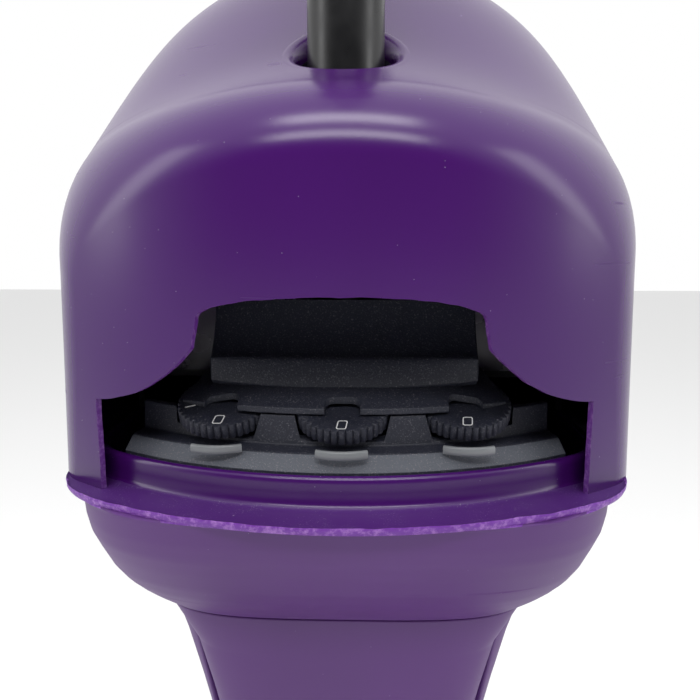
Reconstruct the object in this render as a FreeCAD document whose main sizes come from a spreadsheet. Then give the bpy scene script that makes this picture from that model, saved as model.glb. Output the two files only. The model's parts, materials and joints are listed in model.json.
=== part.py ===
import FreeCAD, Part
import math
import os
import re
import Sketcher

# Upright carpet cleaner, parked upright.  +X is the operator's right, +Y points away from the
# operator, +Z is up.  The origin is on the floor, under the middle of the machine.  Millimetres.

DIMENSIONS = {
    # where the two main groups sit
    "half_depth": 193, "front_y": -156, "flange_z": 470, "pivot_y": -46, "pivot_z": 85, "lean": 5,
    "wall": 3.5, "gap": 0.3, "slip": 0.05, "cut_reach": 200,
    # hood: plan bows, then roof stations from front to back (depth, crown height, spring height)
    "hood_half": 117, "hood_bow": 183, "hood_back_bow": 154, "hood_depth": 290, "hood_round": 20,
    "brow_y": -4, "brow_top": 146, "brow_spring": 72,
    "lip_y": 14, "lip_top": 150, "lip_spring": 77,
    "hole_y": 73, "hole_top": 175, "hole_spring": 112, "hole_radius": 22.5,
    "rise_y": 150, "rise_top": 233, "rise_spring": 152,
    "peak_y": 205, "peak_top": 258, "peak_spring": 165,
    "tail_y": 262, "tail_top": 222, "tail_spring": 135,
    "end_y": 300, "end_top": 150, "end_spring": 80,
    "open_half": 95.5, "open_side": 37, "open_shoulder": 53, "open_step": 60, "open_spring": 70,
    "open_top": 79, "inlet_z": 23,
    # lower shell: flange, collar, bowl and neck
    "flange_thick": 3, "flange_proud": 9, "flange_side": 1.5,
    "front_corner": 34, "back_corner": 60,
    "collar_inset": 9.5, "collar_tall": 12, "collar_thick": 4,
    "bowl_half": 114, "bowl_front": -1, "bowl_back": 284,
    "bowl_mid_z": 38, "bowl_mid_half": 103, "bowl_mid_front": 15, "bowl_mid_back": 240,
    "bowl_low_z": 52, "bowl_low_half": 91, "bowl_low_front": 29, "bowl_low_back": 190,
    "neck_z": 64, "neck_half": 73, "neck_front": 42, "neck_back": 128,
    # column, measured from the recline pivot along its own leaning axis
    "foot_up": 45, "foot_half": 38, "foot_front": -30, "foot_back": 34, "foot_corner": 10,
    "waist_up": 280, "waist_half": 61, "waist_front": -37, "waist_back": 44,
    "top_up": 335, "top_half": 76, "top_front": -41, "top_back": 47, "split": -18, "inset": 4.5,
    # control module
    "ledge_y": 18, "ledge_z": 18.3, "wall_y": 24.5, "deck_floor": 4, "deck_back": 50,
    "plate_half": 75, "plate_front": 24, "plate_top": 34, "plate_thick": 2.4, "plate_rise": 0.5,
    "block_half": 54, "block_front": 36, "block_ridge_y": 40, "block_ridge_z": 51,
    "block_back_y": 53, "block_back_z": 62, "notch_half": 7, "notch_deep": 7,
    "dial_radius": 19, "dial_thick": 6.5, "dial_tilt": 20, "dial_pitch": 48, "dial_teeth": 36,
    "tongue_half": 9.7, "tongue_top": 21,
    "dial_y": 33.4, "dial_z": 33.9, "spindle_radius": 3, "spindle_long": 34,
    # handle
    "tube_radius": 16, "tube_wall": 1.8, "tube_low": -45, "tube_high": 925,
    "loop_round": 20, "loop_section": 13.5, "loop_front": -88, "loop_low": 985, "loop_high": 1046,
    "grip_radius": 20, "grip_low": 888,
    # floor head
    "head_half": 160, "head_front": 178, "head_back": -20, "tail_half": 118, "tail_end": -104,
    "base_z": 8, "base_thick": 4, "base_tall": 60, "cover_top": 84, "cover_round": 12,
    "wheel_radius": 45, "wheel_wide": 22, "wheel_x": 139, "wheel_y": -86, "axle_radius": 5,
    "roller_radius": 12, "roller_wide": 16, "roller_x": 131, "roller_y": 163, "roller_pin": 2.5,
    "brush_y": 118, "brush_z": 32, "brush_core": 18, "brush_radius": 30.5, "brush_long": 256,
    "journal": 5, "pulley_x": -150, "pulley_wide": 7, "brush_pulley": 18, "motor_pulley": 6,
    "motor_y": 36, "motor_z": 48, "motor_radius": 29, "belt_thick": 1.8,
    "fan_radius": 42, "fan_x": 40, "fan_y": 27, "fan_low": 13, "fan_high": 76,
    "tank_half": 118, "tank_back": 42, "tank_front": 171, "tank_low": 84.5, "tank_high": 118,
    "pivot_radius": 8, "yoke_radius": 21, "yoke_half": 44, "ear_x": 46, "ear_thick": 8,
}

doc = FreeCAD.newDocument("carpet_cleaner")
dims = doc.addObject("Spreadsheet::Sheet", "dims")
for row, (alias, number) in enumerate(DIMENSIONS.items(), start=1):
    dims.set("A%d" % row, alias)
    dims.set("B%d" % row, str(number))
    dims.setAlias("B%d" % row, alias)
doc.recompute()

Vector = FreeCAD.Vector
FRAMES = {"floor": ("0", "0"), "hood": ("front_y", "flange_z"), "column": ("pivot_y", "pivot_z")}
parts = []


def size(alias):
    return float(dims.get(alias))


def cells(text):
    """An expression with each alias pointed at its cell of the sheet."""
    return re.sub(r"[a-z_]+", lambda word: "dims." + word.group() if word.group() in DIMENSIONS
                  else word.group(), str(text))


def value(text):
    """The present value of an expression in sheet sizes."""
    return float(dims.evalExpression(cells(text)))


def bind(item, **sizes):
    for name, text in sizes.items():
        item.setExpression(name, cells(text))


def move(item, x="0", y="0", z="0"):
    for axis, text in (("x", x), ("y", y), ("z", z)):
        item.setExpression("Placement.Base." + axis, cells(text))
    return item


def add(name, kind):
    return doc.addObject(kind, name)


def box(name, x, y, z):
    """A block between pairs of expressions on each axis."""
    item = add(name, "Part::Box")
    bind(item, Length="(%s) - (%s)" % (x[1], x[0]), Width="(%s) - (%s)" % (y[1], y[0]),
         Height="(%s) - (%s)" % (z[1], z[0]))
    return move(item, x[0], y[0], z[0])


def rod(name, axis, radius, start, length, across, up):
    """A cylinder along x, y or z: start is where it begins on that axis."""
    item = add(name, "Part::Cylinder")
    bind(item, Radius=radius, Height=length)
    turn = {"z": FreeCAD.Rotation(), "x": FreeCAD.Rotation(Vector(0, 1, 0), 90),
            "y": FreeCAD.Rotation(Vector(1, 0, 0), -90)}[axis]
    item.Placement = FreeCAD.Placement(Vector(0, 0, 0), turn)
    place = {"z": (across, up, start), "x": (start, across, up), "y": (across, start, up)}[axis]
    return move(item, *place)


def fuse(name, *items):
    item = add(name, "Part::MultiFuse")
    item.Shapes = list(items)
    item.Refine = True
    return item


def common(name, *items):
    item = add(name, "Part::MultiCommon")
    item.Shapes = list(items)
    return item


def cut(name, base, *tools):
    item = add(name, "Part::Cut")
    item.Base = base
    item.Tool = tools[0] if len(tools) == 1 else fuse(name + "_tools", *tools)
    return item


def coded(name, shape):
    """A moulded form that only surface functions can make."""
    item = add(name, "Part::Feature")
    item.Shape = shape
    return item


def rounded(name, base, radius, chosen):
    """Rounds the edges of base that the test chooses."""
    doc.recompute()
    item = add(name, "Part::Fillet")
    item.Base = base
    edges = [number for number, edge in enumerate(base.Shape.Edges, start=1) if chosen(edge)]
    item.Edges = [(number, value(radius), value(radius)) for number in edges]
    return item


def part(name, item, frame="floor"):
    """Names a finished sub-part and puts it in its frame."""
    item.Label = name
    y_place, z_place = FRAMES[frame]
    if frame == "column":
        item.Placement = FreeCAD.Placement(Vector(0, 0, 0), FreeCAD.Rotation(Vector(1, 0, 0), 1))
        item.setExpression("Placement.Rotation.Angle", cells("lean"))
    if frame != "floor":
        move(item, "0", y_place, z_place)
    parts.append(item)
    return item


# ---- PartDesign helpers

def new_body(name):
    return add(name + "_body", "PartDesign::Body")


def sketch_on(body, name, plane, offset="0"):
    sketch = body.newObject("Sketcher::SketchObject", name)
    support = [item for item in body.Origin.OriginFeatures if item.Role == plane + "_Plane"][0]
    sketch.AttachmentSupport = [(support, "")]
    sketch.MapMode = "FlatFace"
    sketch.setExpression("AttachmentOffset.Base.z", cells(offset))
    return sketch


def pin_point(sketch, geometry, end, across, up):
    """Ties a point to the sketch origin with two sizes from the sheet."""
    for kind, text in (("DistanceX", across), ("DistanceY", up)):
        number = sketch.addConstraint(Sketcher.Constraint(kind, -1, 1, geometry, end, value(text)))
        sketch.setExpression("Constraints[%d]" % number, cells(text))


def outline(body, name, plane, corners, offset="0"):
    """A closed straight-sided outline through corners given as expressions."""
    sketch = sketch_on(body, name, plane, offset)
    points = [Vector(value(across), value(up), 0) for across, up in corners]
    count = len(points)
    for index in range(count):
        sketch.addGeometry(Part.LineSegment(points[index], points[(index + 1) % count]), False)
    for index in range(count):
        sketch.addConstraint(Sketcher.Constraint("Coincident", index, 2, (index + 1) % count, 1))
        pin_point(sketch, index, 1, *corners[index])
    return sketch


def circles(body, name, plane, rings, offset="0"):
    """Circles given as (across, up, radius) expressions."""
    sketch = sketch_on(body, name, plane, offset)
    for index, (across, up, radius) in enumerate(rings):
        centre = Vector(value(across), value(up), 0)
        sketch.addGeometry(Part.Circle(centre, Vector(0, 0, 1), value(radius)), False)
        pin_point(sketch, index, 3, across, up)
        number = sketch.addConstraint(Sketcher.Constraint("Radius", index, value(radius)))
        sketch.setExpression("Constraints[%d]" % number, cells(radius))
    return sketch


def pad(body, name, profile, length, both_ways=False, back=False):
    feature = body.newObject("PartDesign::Pad", name)
    feature.Profile = profile
    feature.SideType = "Symmetric" if both_ways else "One side"
    feature.Reversed = back
    bind(feature, Length=length)
    return feature


def pocket(body, name, profile, length, both_ways=False, back=False):
    feature = body.newObject("PartDesign::Pocket", name)
    feature.Profile = profile
    feature.SideType = "Symmetric" if both_ways else "One side"
    feature.Reversed = back
    bind(feature, Length=length)
    return feature


def lathe(body, name, profile, axis="V_Axis", kind="PartDesign::Revolution"):
    feature = body.newObject(kind, name)
    feature.Profile = profile
    feature.ReferenceAxis = (profile, [axis])
    feature.Angle = 360
    return feature


# ---- forms shared by several mouldings

def closed_curve(points):
    curve = Part.BSplineCurve()
    curve.interpolate(points, PeriodicFlag=True)
    return Part.Wire([curve.toShape()])


def arch_form(inset, floor):
    """The hood's form, made smaller by inset, from floor upwards."""
    sections = []
    for station in ("brow", "lip", "hole", "rise", "peak", "tail", "end"):
        depth = size(station + "_y")
        half = size("hood_half") - inset
        spring = size(station + "_spring")
        crown = size(station + "_top") - inset * 1.08 - spring
        rising = [Vector(-half, depth, floor + (spring - floor) * step / 3) for step in range(3)]
        turns = [math.radians(15 * step) for step in range(13)]
        over = [Vector(-half * math.cos(turn), depth, spring + crown * math.sin(turn)) for turn in turns]
        falling = [Vector(-point.x, point.y, point.z) for point in reversed(rising)]
        curve = Part.BSplineCurve()
        curve.interpolate(rising + over + falling)
        foot = Part.LineSegment(falling[-1], rising[0])
        sections.append(Part.Wire([curve.toShape(), foot.toShape()]))
    return Part.makeLoft(sections, True, False)


def plan_form(name, inset, low, high, side="0"):
    """The hood's plan: a bowed front and a bowed back, made smaller by inset."""
    front = rod(name + "_front", "z", "hood_bow - (%s)" % inset, low, "(%s) - (%s)" % (high, low),
                "0", "hood_bow")
    back = rod(name + "_back", "z", "hood_back_bow - (%s)" % inset, low, "(%s) - (%s)" % (high, low),
               "0", "hood_depth - hood_back_bow")
    half = "hood_half - (%s) + (%s)" % (inset, side)
    sides = box(name + "_sides", ("-(%s)" % half, half), ("-20", "hood_depth + 20"), (low, high))
    return common(name, front, back, sides)


def superoval(half, front, back, height, power):
    """A horizontal rounded section between front and back."""
    middle = (front + back) / 2
    deep = (back - front) / 2
    points = []
    for step in range(32):
        turn = 2 * math.pi * step / 32
        across = math.copysign(abs(math.cos(turn)) ** (2 / power), math.cos(turn))
        along = math.copysign(abs(math.sin(turn)) ** (2 / power), math.sin(turn))
        points.append(Vector(half * across, middle + deep * along, height))
    return closed_curve(points)


def bowl_form(inset):
    """The bowl under the flange, made smaller by inset."""
    top = -size("flange_thick")
    rows = [(size("bowl_half"), size("bowl_front"), size("bowl_back"), top, 4.0),
            (size("bowl_half") - 3, size("bowl_front") + 5, size("bowl_back") - 12, -20, 4.0),
            (size("bowl_mid_half"), size("bowl_mid_front"), size("bowl_mid_back"),
             -size("bowl_mid_z"), 3.8),
            (size("bowl_low_half"), size("bowl_low_front"), size("bowl_low_back"),
             -size("bowl_low_z"), 3.6),
            (size("neck_half"), size("neck_front"), size("neck_back"), -size("neck_z"), 3.6)]
    wires = [superoval(half - inset, front + inset, back - inset, height, power)
             for half, front, back, height, power in rows]
    return Part.makeLoft(wires, True, False)


def rounded_rectangle(half, front, back, height, corner):
    """A level rectangle with round corners, from arcs and lines."""
    corners = [(half, back, 0), (-half, back, 90), (-half, front, 180), (half, front, 270)]
    edges = []
    points = []
    for across, along, start in corners:
        middle = Vector(across - math.copysign(corner, across),
                        along - corner if along == back else along + corner, height)
        reach = [middle + Vector(corner * math.cos(math.radians(turn)),
                                 corner * math.sin(math.radians(turn)), 0)
                 for turn in (start, start + 45, start + 90)]
        edges.append(Part.Arc(*reach).toShape())
        points.append(reach)
    for index in range(4):
        edges.insert(2 * index + 1,
                     Part.LineSegment(points[index][2], points[(index + 1) % 4][0]).toShape())
    return Part.Wire(edges)


def column_form(narrower, inset):
    """The tapered column with its wall taken off by inset and its sides by narrower."""
    wires = []
    for end in ("foot", "waist", "top"):
        wires.append(rounded_rectangle(size(end + "_half") - narrower - inset,
                                       size(end + "_front") + inset, size(end + "_back") - inset,
                                       size(end + "_up"), size("foot_corner") - inset / 2))
    return Part.makeLoft(wires, True, True)


def hull_path(rings):
    """Arcs round the rings (y, z, radius), anticlockwise, joined by tangent lines."""
    joins = []
    for index, (y_one, z_one, r_one) in enumerate(rings):
        y_two, z_two, r_two = rings[(index + 1) % len(rings)]
        apart = math.hypot(y_two - y_one, z_two - z_one)
        heading = math.atan2(z_two - z_one, y_two - y_one)
        normal = heading - math.acos((r_one - r_two) / apart)
        joins.append((Vector(0, y_one + r_one * math.cos(normal), z_one + r_one * math.sin(normal)),
                      Vector(0, y_two + r_two * math.cos(normal), z_two + r_two * math.sin(normal)),
                      normal))
    edges = []
    for index, (y_mid, z_mid, radius) in enumerate(rings):
        start, first = joins[index - 1][1], joins[index - 1][2]
        finish, last = joins[index][0], joins[index][2]
        while last < first:
            last += 2 * math.pi
        half_way = (first + last) / 2
        middle = Vector(0, y_mid + radius * math.cos(half_way), z_mid + radius * math.sin(half_way))
        edges.append(Part.Arc(start, middle, finish).toShape())
        edges.append(Part.LineSegment(finish, joins[index][1]).toShape())
    return Part.Wire(edges)


def hose(points, radius, bend):
    """A tube along straight runs joined by tangent arcs."""
    edges = []
    here = points[0]
    for before, corner, after in zip(points, points[1:], points[2:]):
        arrive = (corner - before).normalize()
        leave = (after - corner).normalize()
        turn = arrive.getAngle(leave)
        trim = bend * math.tan(turn / 2)
        start = corner - arrive * trim
        finish = corner + leave * trim
        inward = (leave - arrive).normalize()
        middle = corner + inward * (bend / math.cos(turn / 2) - bend)
        edges.append(Part.LineSegment(here, start).toShape())
        edges.append(Part.Arc(start, middle, finish).toShape())
        here = finish
    edges.append(Part.LineSegment(here, points[-1]).toShape())
    path = Part.Wire(edges)
    ring = Part.Circle(points[0], points[1] - points[0], radius).toShape()
    return path.makePipeShell([Part.Wire([ring])], True, False)


# ---- hood

def make_hood():
    arch = coded("hood_arch", arch_form(0, 0))
    outside = common("hood_block", arch, plan_form("hood_plan", "0", "0", "300", "20"))
    bow = size("hood_bow")
    soft = rounded("hood_soft", outside, "hood_round",
                   lambda edge: edge.BoundBox.ZMin < 5 and edge.BoundBox.YMax < 60
                   and edge.BoundBox.ZMax > 100 and edge.Length > bow)
    hollow_arch = coded("hood_hollow_arch", arch_form(size("wall"), -5))
    hollow = common("hood_hollow", hollow_arch, plan_form("hood_hollow_plan", "wall", "-5", "300", "20"))
    hollow_soft = rounded("hood_hollow_soft", hollow, "hood_round - wall",
                          lambda edge: edge.BoundBox.ZMin < 0 and edge.BoundBox.YMax < 60
                          and edge.BoundBox.ZMax > 100 and edge.Length > bow)
    opening = new_body("hood_opening")
    pad(opening, "hood_opening_pad", opening_sketch(opening), "48", back=True)
    tube_hole = rod("hood_tube_hole", "z", "hole_radius", "120", "100", "0", "hole_y")
    cap_hole = rod("hood_cap_hole", "z", "27", "230", "50", "0", "peak_y")
    inlet_hole = box("hood_inlet_hole", ("-14.3", "14.3"), ("hood_depth - 20", "hood_depth + 10"),
                     ("inlet_z - 10.3", "inlet_z + 10.3"))
    return part("hood", cut("hood_cut", soft, hollow_soft, opening, tube_hole, cap_hole, inlet_hole),
                "hood")


def opening_sketch(body):
    """The control opening: straight legs, shoulders that curve in, a step and a low arch."""
    sketch = sketch_on(body, "hood_opening_sketch", "XZ", "1")
    half, side = size("open_half"), size("open_side")
    shoulder, step = size("open_shoulder"), size("open_step")
    spring, top = size("open_spring"), size("open_top")
    bend = Vector(shoulder + (half - shoulder) * 0.42, side + (step - side) * 0.32, 0)
    foot, hip = Vector(half, -1, 0), Vector(half, side, 0)
    notch, eave = Vector(shoulder, step, 0), Vector(shoulder - 2, spring, 0)
    edges = [Part.LineSegment(foot, hip), Part.Arc(hip, bend, notch), Part.LineSegment(notch, eave),
             Part.Arc(eave, Vector(0, top, 0), mirrored(eave)),
             Part.LineSegment(mirrored(eave), mirrored(notch)),
             Part.Arc(mirrored(notch), mirrored(bend), mirrored(hip)),
             Part.LineSegment(mirrored(hip), mirrored(foot)), Part.LineSegment(mirrored(foot), foot)]
    sketch.addGeometry(edges, False)
    return sketch


def mirrored(point):
    return Vector(-point.x, point.y, point.z)


# ---- lower shell

def flange_form():
    """The flange: the hood's plan, proud at the front, with round corners."""
    half = size("hood_half") + size("flange_side")
    rims = ((size("hood_bow"), size("hood_bow") + size("flange_proud"), size("front_corner"), -1),
            (size("hood_depth") - size("hood_back_bow"), size("hood_back_bow") + 2,
             size("back_corner"), 1))
    right = []
    for middle, radius, corner, side in rims:
        swing = math.sqrt((radius - corner) ** 2 - (half - corner) ** 2)
        centre = Vector(half - corner, middle + side * swing, 0)
        outward = Vector(centre.x, centre.y - middle, 0).normalize()
        on_rim = centre + outward * corner
        on_side = centre + Vector(corner, 0, 0)
        halfway = centre + (outward + Vector(1, 0, 0)).normalize() * corner
        right.append((on_rim, halfway, on_side, Vector(0, middle + side * radius, 0)))
    front, back = right
    edges = [Part.Arc(mirrored(front[0]), front[3], front[0]), Part.Arc(*front[:3]),
             Part.LineSegment(front[2], back[2]), Part.Arc(back[2], back[1], back[0]),
             Part.Arc(back[0], back[3], mirrored(back[0])),
             Part.Arc(mirrored(back[0]), mirrored(back[1]), mirrored(back[2])),
             Part.LineSegment(mirrored(back[2]), mirrored(front[2])),
             Part.Arc(mirrored(front[2]), mirrored(front[1]), mirrored(front[0]))]
    face = Part.Face(Part.Wire([edge.toShape() for edge in edges]))
    return face.extrude(Vector(0, 0, -size("flange_thick")))


def make_lower_shell():
    flange = coded("flange", flange_form())
    collar = plan_form("collar_outside", "collar_inset", "-1", "collar_tall")
    hollow = plan_form("collar_inside", "collar_inset + collar_thick", "-flange_thick - 1",
                       "collar_tall + 1")
    bowl = coded("bowl", bowl_form(0))
    inside = coded("bowl_inside", bowl_form(size("wall")))
    well = plan_form("bowl_mouth", "collar_inset + collar_thick", "-flange_thick - 6", "0")
    mouth = box("bowl_neck_mouth", ("-62", "62"), ("neck_front + 8", "neck_back - 8"),
                ("-neck_z - 2", "-neck_z + 10"))
    shell = fuse("lower_shell_solid", flange, collar, bowl)
    return part("lower_shell", cut("lower_shell_cut", shell, hollow, inside, well, mouth), "hood")


# ---- column

def make_column():
    """A front cover set a little inside the rear spine, both open channels."""
    reach = ("-120", "120")
    tall = ("foot_up - 5", "top_up + 5")
    above = level_top()
    cover = coded("cover_outside", column_form(size("inset"), 0))
    cover_hollow = coded("cover_hollow", column_form(size("inset"), size("wall")))
    cover_side = box("cover_side", reach, ("-100", "split"), tall)
    cover_shell = cut("cover_shell", cover, cover_hollow)
    cover_channel = common("column_cover_channel", cover_shell, cover_side)
    part("column_cover", cut("column_cover_cut", cover_channel, above), "column")
    spine = coded("spine_outside", column_form(0, 0))
    spine_hollow = coded("spine_hollow", column_form(0, size("wall")))
    spine_side = box("spine_side", reach, ("split + gap", "100"), tall)
    spine_shell = cut("spine_shell", spine, spine_hollow)
    spine_channel = common("column_spine_channel", spine_shell, spine_side)
    part("column_spine", cut("column_spine_cut", spine_channel, above), "column")


def level_top():
    """Everything above the level where the leaning column meets the neck."""
    level = "(flange_z - neck_z - gap - pivot_z) / cos(lean * 1 deg)"
    above = box("column_above", ("-120", "120"),
                ("-cut_reach * cos(lean * 1 deg)", "cut_reach"),
                (level + " + cut_reach * sin(lean * 1 deg)", "top_up + cut_reach"))
    above.Placement = FreeCAD.Placement(Vector(0, 0, 0), FreeCAD.Rotation(Vector(-1, 0, 0), 1))
    above.setExpression("Placement.Rotation.Angle", cells("lean"))
    return above


def make_yoke():
    barrel = rod("yoke_barrel", "x", "yoke_radius", "-yoke_half", "2 * yoke_half", "0", "0")
    neck = box("yoke_neck", ("-foot_half + wall + inset + 4", "foot_half - wall - inset - 4"),
               ("foot_front + wall + 2", "foot_back - wall - 2"), ("6", "foot_up + 42"))
    bore = rod("yoke_bore", "x", "pivot_radius + slip", "-yoke_half - 1", "2 * yoke_half + 2", "0", "0")
    lug = box("yoke_lug", ("-12", "12"), ("8", "25"), ("-6", "20"))
    return part("yoke", cut("yoke_cut", fuse("yoke_solid", barrel, neck, lug), bore), "column")


def make_tube_socket():
    plate = box("socket_plate", ("-52", "52"), ("neck_front + 8", "neck_back - 8"), ("-58", "-50"))
    boss = rod("socket_boss", "z", "tube_radius + 7", "-58", "43", "0", "hole_y")
    bore = rod("socket_bore", "z", "tube_radius + slip", "-59", "70", "0", "hole_y")
    hose_way = box("socket_way", ("-44", "-28"), ("60", "84"), ("-60", "-40"))
    solid = fuse("socket_solid", plate, boss)
    return part("tube_socket", cut("socket_cut", solid, bore, hose_way, *bolt_rods("socket_hole")), "hood")


def bolt_rods(name):
    """The two cross bolts that hold the handle tube in its socket."""
    return [rod("%s_%d" % (name, step), "x", "2.5", "-26", "52", "hole_y", "-38 + 14 * %d" % step)
            for step in (0, 1)]


# ---- control module, in the hood frame

def make_control_base():
    body = new_body("control_base")
    bow = "hood_bow"
    lip = "collar_inset + collar_thick + 0.3"
    corners = [("-(%s - (%s))" % (bow, lip), "deck_floor"), ("-(%s - (%s))" % (bow, lip), "collar_tall + 1"),
               ("-(%s - ledge_y)" % bow, "ledge_z"), ("-(%s - wall_y)" % bow, "ledge_z + 1"),
               ("-(%s - wall_y)" % bow, "plate_top - plate_thick - 0.4"),
               ("-(%s - wall_y - 3)" % bow, "plate_top - plate_thick - 0.4"),
               ("-(%s - wall_y - 3)" % bow, "deck_floor + 3"), ("-(%s - deck_back)" % bow, "deck_floor + 3"),
               ("-(%s - deck_back)" % bow, "deck_floor")]
    profile = outline(body, "deck_profile", "YZ", corners)
    ring = lathe(body, "deck_ring", profile)
    ring.Angle = 70
    ring.Midplane = True
    body.Placement = FreeCAD.Placement(Vector(0, 0, 0), FreeCAD.Rotation())
    move(body, "0", "hood_bow", "0")
    limits = plan_form("deck_limits", "collar_inset + collar_thick + 0.4", "0", "40")
    wells = [dial_space("deck_well_%s" % name, place, "dial_radius + 1.5", "-dial_thick - 1", "20")
             for name, place in DIALS]
    spindles = [dial_space("deck_hole_%s" % name, place, "spindle_radius + 0.5", "-40", "40")
                for name, place in DIALS]
    slots = [tongue("deck_slot_%s" % name, place, "collar_tall + gap", "20") for name, place in DIALS]
    trimmed = common("deck_trimmed", body, limits)
    return part("control_base", cut("control_base_cut", trimmed, *(wells + spindles + slots)), "hood")


DIALS = (("left", "-1"), ("centre", "0"), ("right", "1"))


def dial_depth(place):
    """Side dials sit further back, on the same bow as the hood front."""
    return "dial_y + abs(%s) * (hood_bow - sqrt(hood_bow ^ 2 - dial_pitch ^ 2))" % place


def dial_space(name, place, radius, low, tall):
    """A cylinder on a dial's tilted axis, from low below the dial's top face."""
    item = add(name, "Part::Cylinder")
    bind(item, Radius=radius, Height=tall)
    item.Placement = FreeCAD.Placement(Vector(0, 0, 0), FreeCAD.Rotation(Vector(1, 0, 0), 20))
    item.setExpression("Placement.Rotation.Angle", cells("dial_tilt"))
    return move(item, "dial_pitch * (%s)" % place,
                "%s - (%s) * sin(dial_tilt * 1 deg)" % (dial_depth(place), low),
                "dial_z + (%s) * cos(dial_tilt * 1 deg)" % low)


def make_control_cover():
    """The raised plate with its three notches, and the block on it."""
    body = new_body("control_plate")
    bow = "hood_bow"
    front = "-(hood_bow - plate_front)"
    foot = "-(hood_bow - block_front)"
    back = "-(hood_bow - deck_back - 1)"
    rise = "plate_rise * (block_front - plate_front)"
    far = "plate_rise * (deck_back + 1 - plate_front)"
    corners = [(front, "plate_top - plate_thick"), (front, "plate_top"), (foot, "plate_top + %s" % rise),
               (back, "plate_top + %s" % far), (back, "plate_top + %s - plate_thick" % far)]
    ring = lathe(body, "plate_ring", outline(body, "plate_profile", "YZ", corners))
    ring.Angle = 60
    ring.Midplane = True
    move(body, "0", "hood_bow", "0")
    sides = box("plate_sides", ("-plate_half", "plate_half"), ("0", "80"), ("0", "90"))
    plate = common("plate_trimmed", body, sides)
    block = new_body("control_block")
    wedge = [("block_front - 1", "plate_top + %s - 1" % rise), ("block_ridge_y", "block_ridge_z"),
             ("block_back_y", "block_back_z"), ("block_back_y", "plate_top + %s" % rise)]
    pad(block, "block_pad", outline(block, "block_profile", "YZ", wedge), "2 * block_half", True)
    notches = []
    for name, place in DIALS:
        depth = "%s - dial_y + plate_front" % dial_depth(place)
        across = "dial_pitch * (%s)" % place
        slot = box("notch_slot_" + name, ("%s - notch_half" % across, "%s + notch_half" % across),
                   ("%s - 4" % depth, "%s + notch_deep - 4" % depth), ("20", "60"))
        end = rod("notch_end_" + name, "z", "notch_half", "20", "40", across,
                  "%s + notch_deep - 4" % depth)
        notches += [slot, end]
    wells = [dial_space("cover_well_%s" % name, place, "dial_radius + 0.8", "-dial_thick",
                        "dial_thick + 0.4") for name, place in DIALS]
    solid = fuse("control_cover_solid", plate, block)
    return part("control_cover", cut("control_cover_cut", solid, *(notches + wells)), "hood")


def make_dials():
    """Three serrated thumbwheels, each on a spindle that runs down into the valve block."""
    for name, place in DIALS:
        body = new_body("dial_" + name)
        rim = circles(body, "rim_" + name, "XY", [("0", "0", "dial_radius")], "-dial_thick")
        pad(body, "thumbwheel_" + name, rim, "dial_thick")
        stem = circles(body, "stem_" + name, "XY", [("0", "0", "spindle_radius")],
                       "-dial_thick - spindle_long")
        pad(body, "spindle_" + name, stem, "spindle_long + 1")
        groove = circles(body, "groove_" + name, "XY", [("0", "dial_radius + 0.5", "1.3")])
        tooth = pocket(body, "tooth_" + name, groove, "dial_thick")
        teeth = body.newObject("PartDesign::PolarPattern", "teeth_" + name)
        teeth.Originals = [tooth]
        teeth.Axis = (rim, ["N_Axis"])
        teeth.Angle = 360
        teeth.Occurrences = int(size("dial_teeth"))
        body.Tip = teeth
        item = part("dial_" + name, body)
        item.Placement = FreeCAD.Placement(Vector(0, 0, 0), FreeCAD.Rotation(Vector(1, 0, 0), 20))
        item.setExpression("Placement.Rotation.Angle", cells("dial_tilt"))
        move(item, "dial_pitch * (%s)" % place, "front_y + %s" % dial_depth(place), "flange_z + dial_z")


def make_valves():
    """One valve block under the deck: its three bores take the dial spindles."""
    bodies = [dial_space("valve_body_" + name, place, "8", "-48", "12") for name, place in DIALS]
    bores = [dial_space("valve_bore_" + name, place, "spindle_radius + slip",
                        "-dial_thick - spindle_long - 0.4", "10") for name, place in DIALS]
    rail = box("valve_rail", ("-dial_pitch", "dial_pitch"), ("dial_y + 13.1", "dial_y + 23.6"),
               ("-13", "-8"))
    solid = fuse("valve_block_solid", rail, *bodies)
    return part("valve_block", cut("valve_block_cut", solid, *bores), "hood")


def make_detents():
    """A sprung tongue in front of each dial clicks over its serrations."""
    tongues = [tongue("tongue_" + name, place, "collar_tall + gap", "tongue_top - collar_tall - gap")
               for name, place in DIALS]
    return part("dial_detents", fuse("dial_detents_solid", *tongues), "hood")


def tongue(name, place, low, tall):
    """A short upright arc round the front of a dial."""
    depth = dial_depth(place)
    across = "dial_pitch * (%s)" % place
    outside = rod(name + "_out", "z", "dial_radius + 2.6", low, tall, across, depth)
    inside = rod(name + "_in", "z", "dial_radius + 1", "0", "60", across, depth)
    reach = box(name + "_reach", (across + " - tongue_half", across + " + tongue_half"),
                ("%s - dial_radius - 5" % depth, depth), ("0", "60"))
    return cut(name, common(name + "_arc", outside, reach), inside)


# ---- handle

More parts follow.
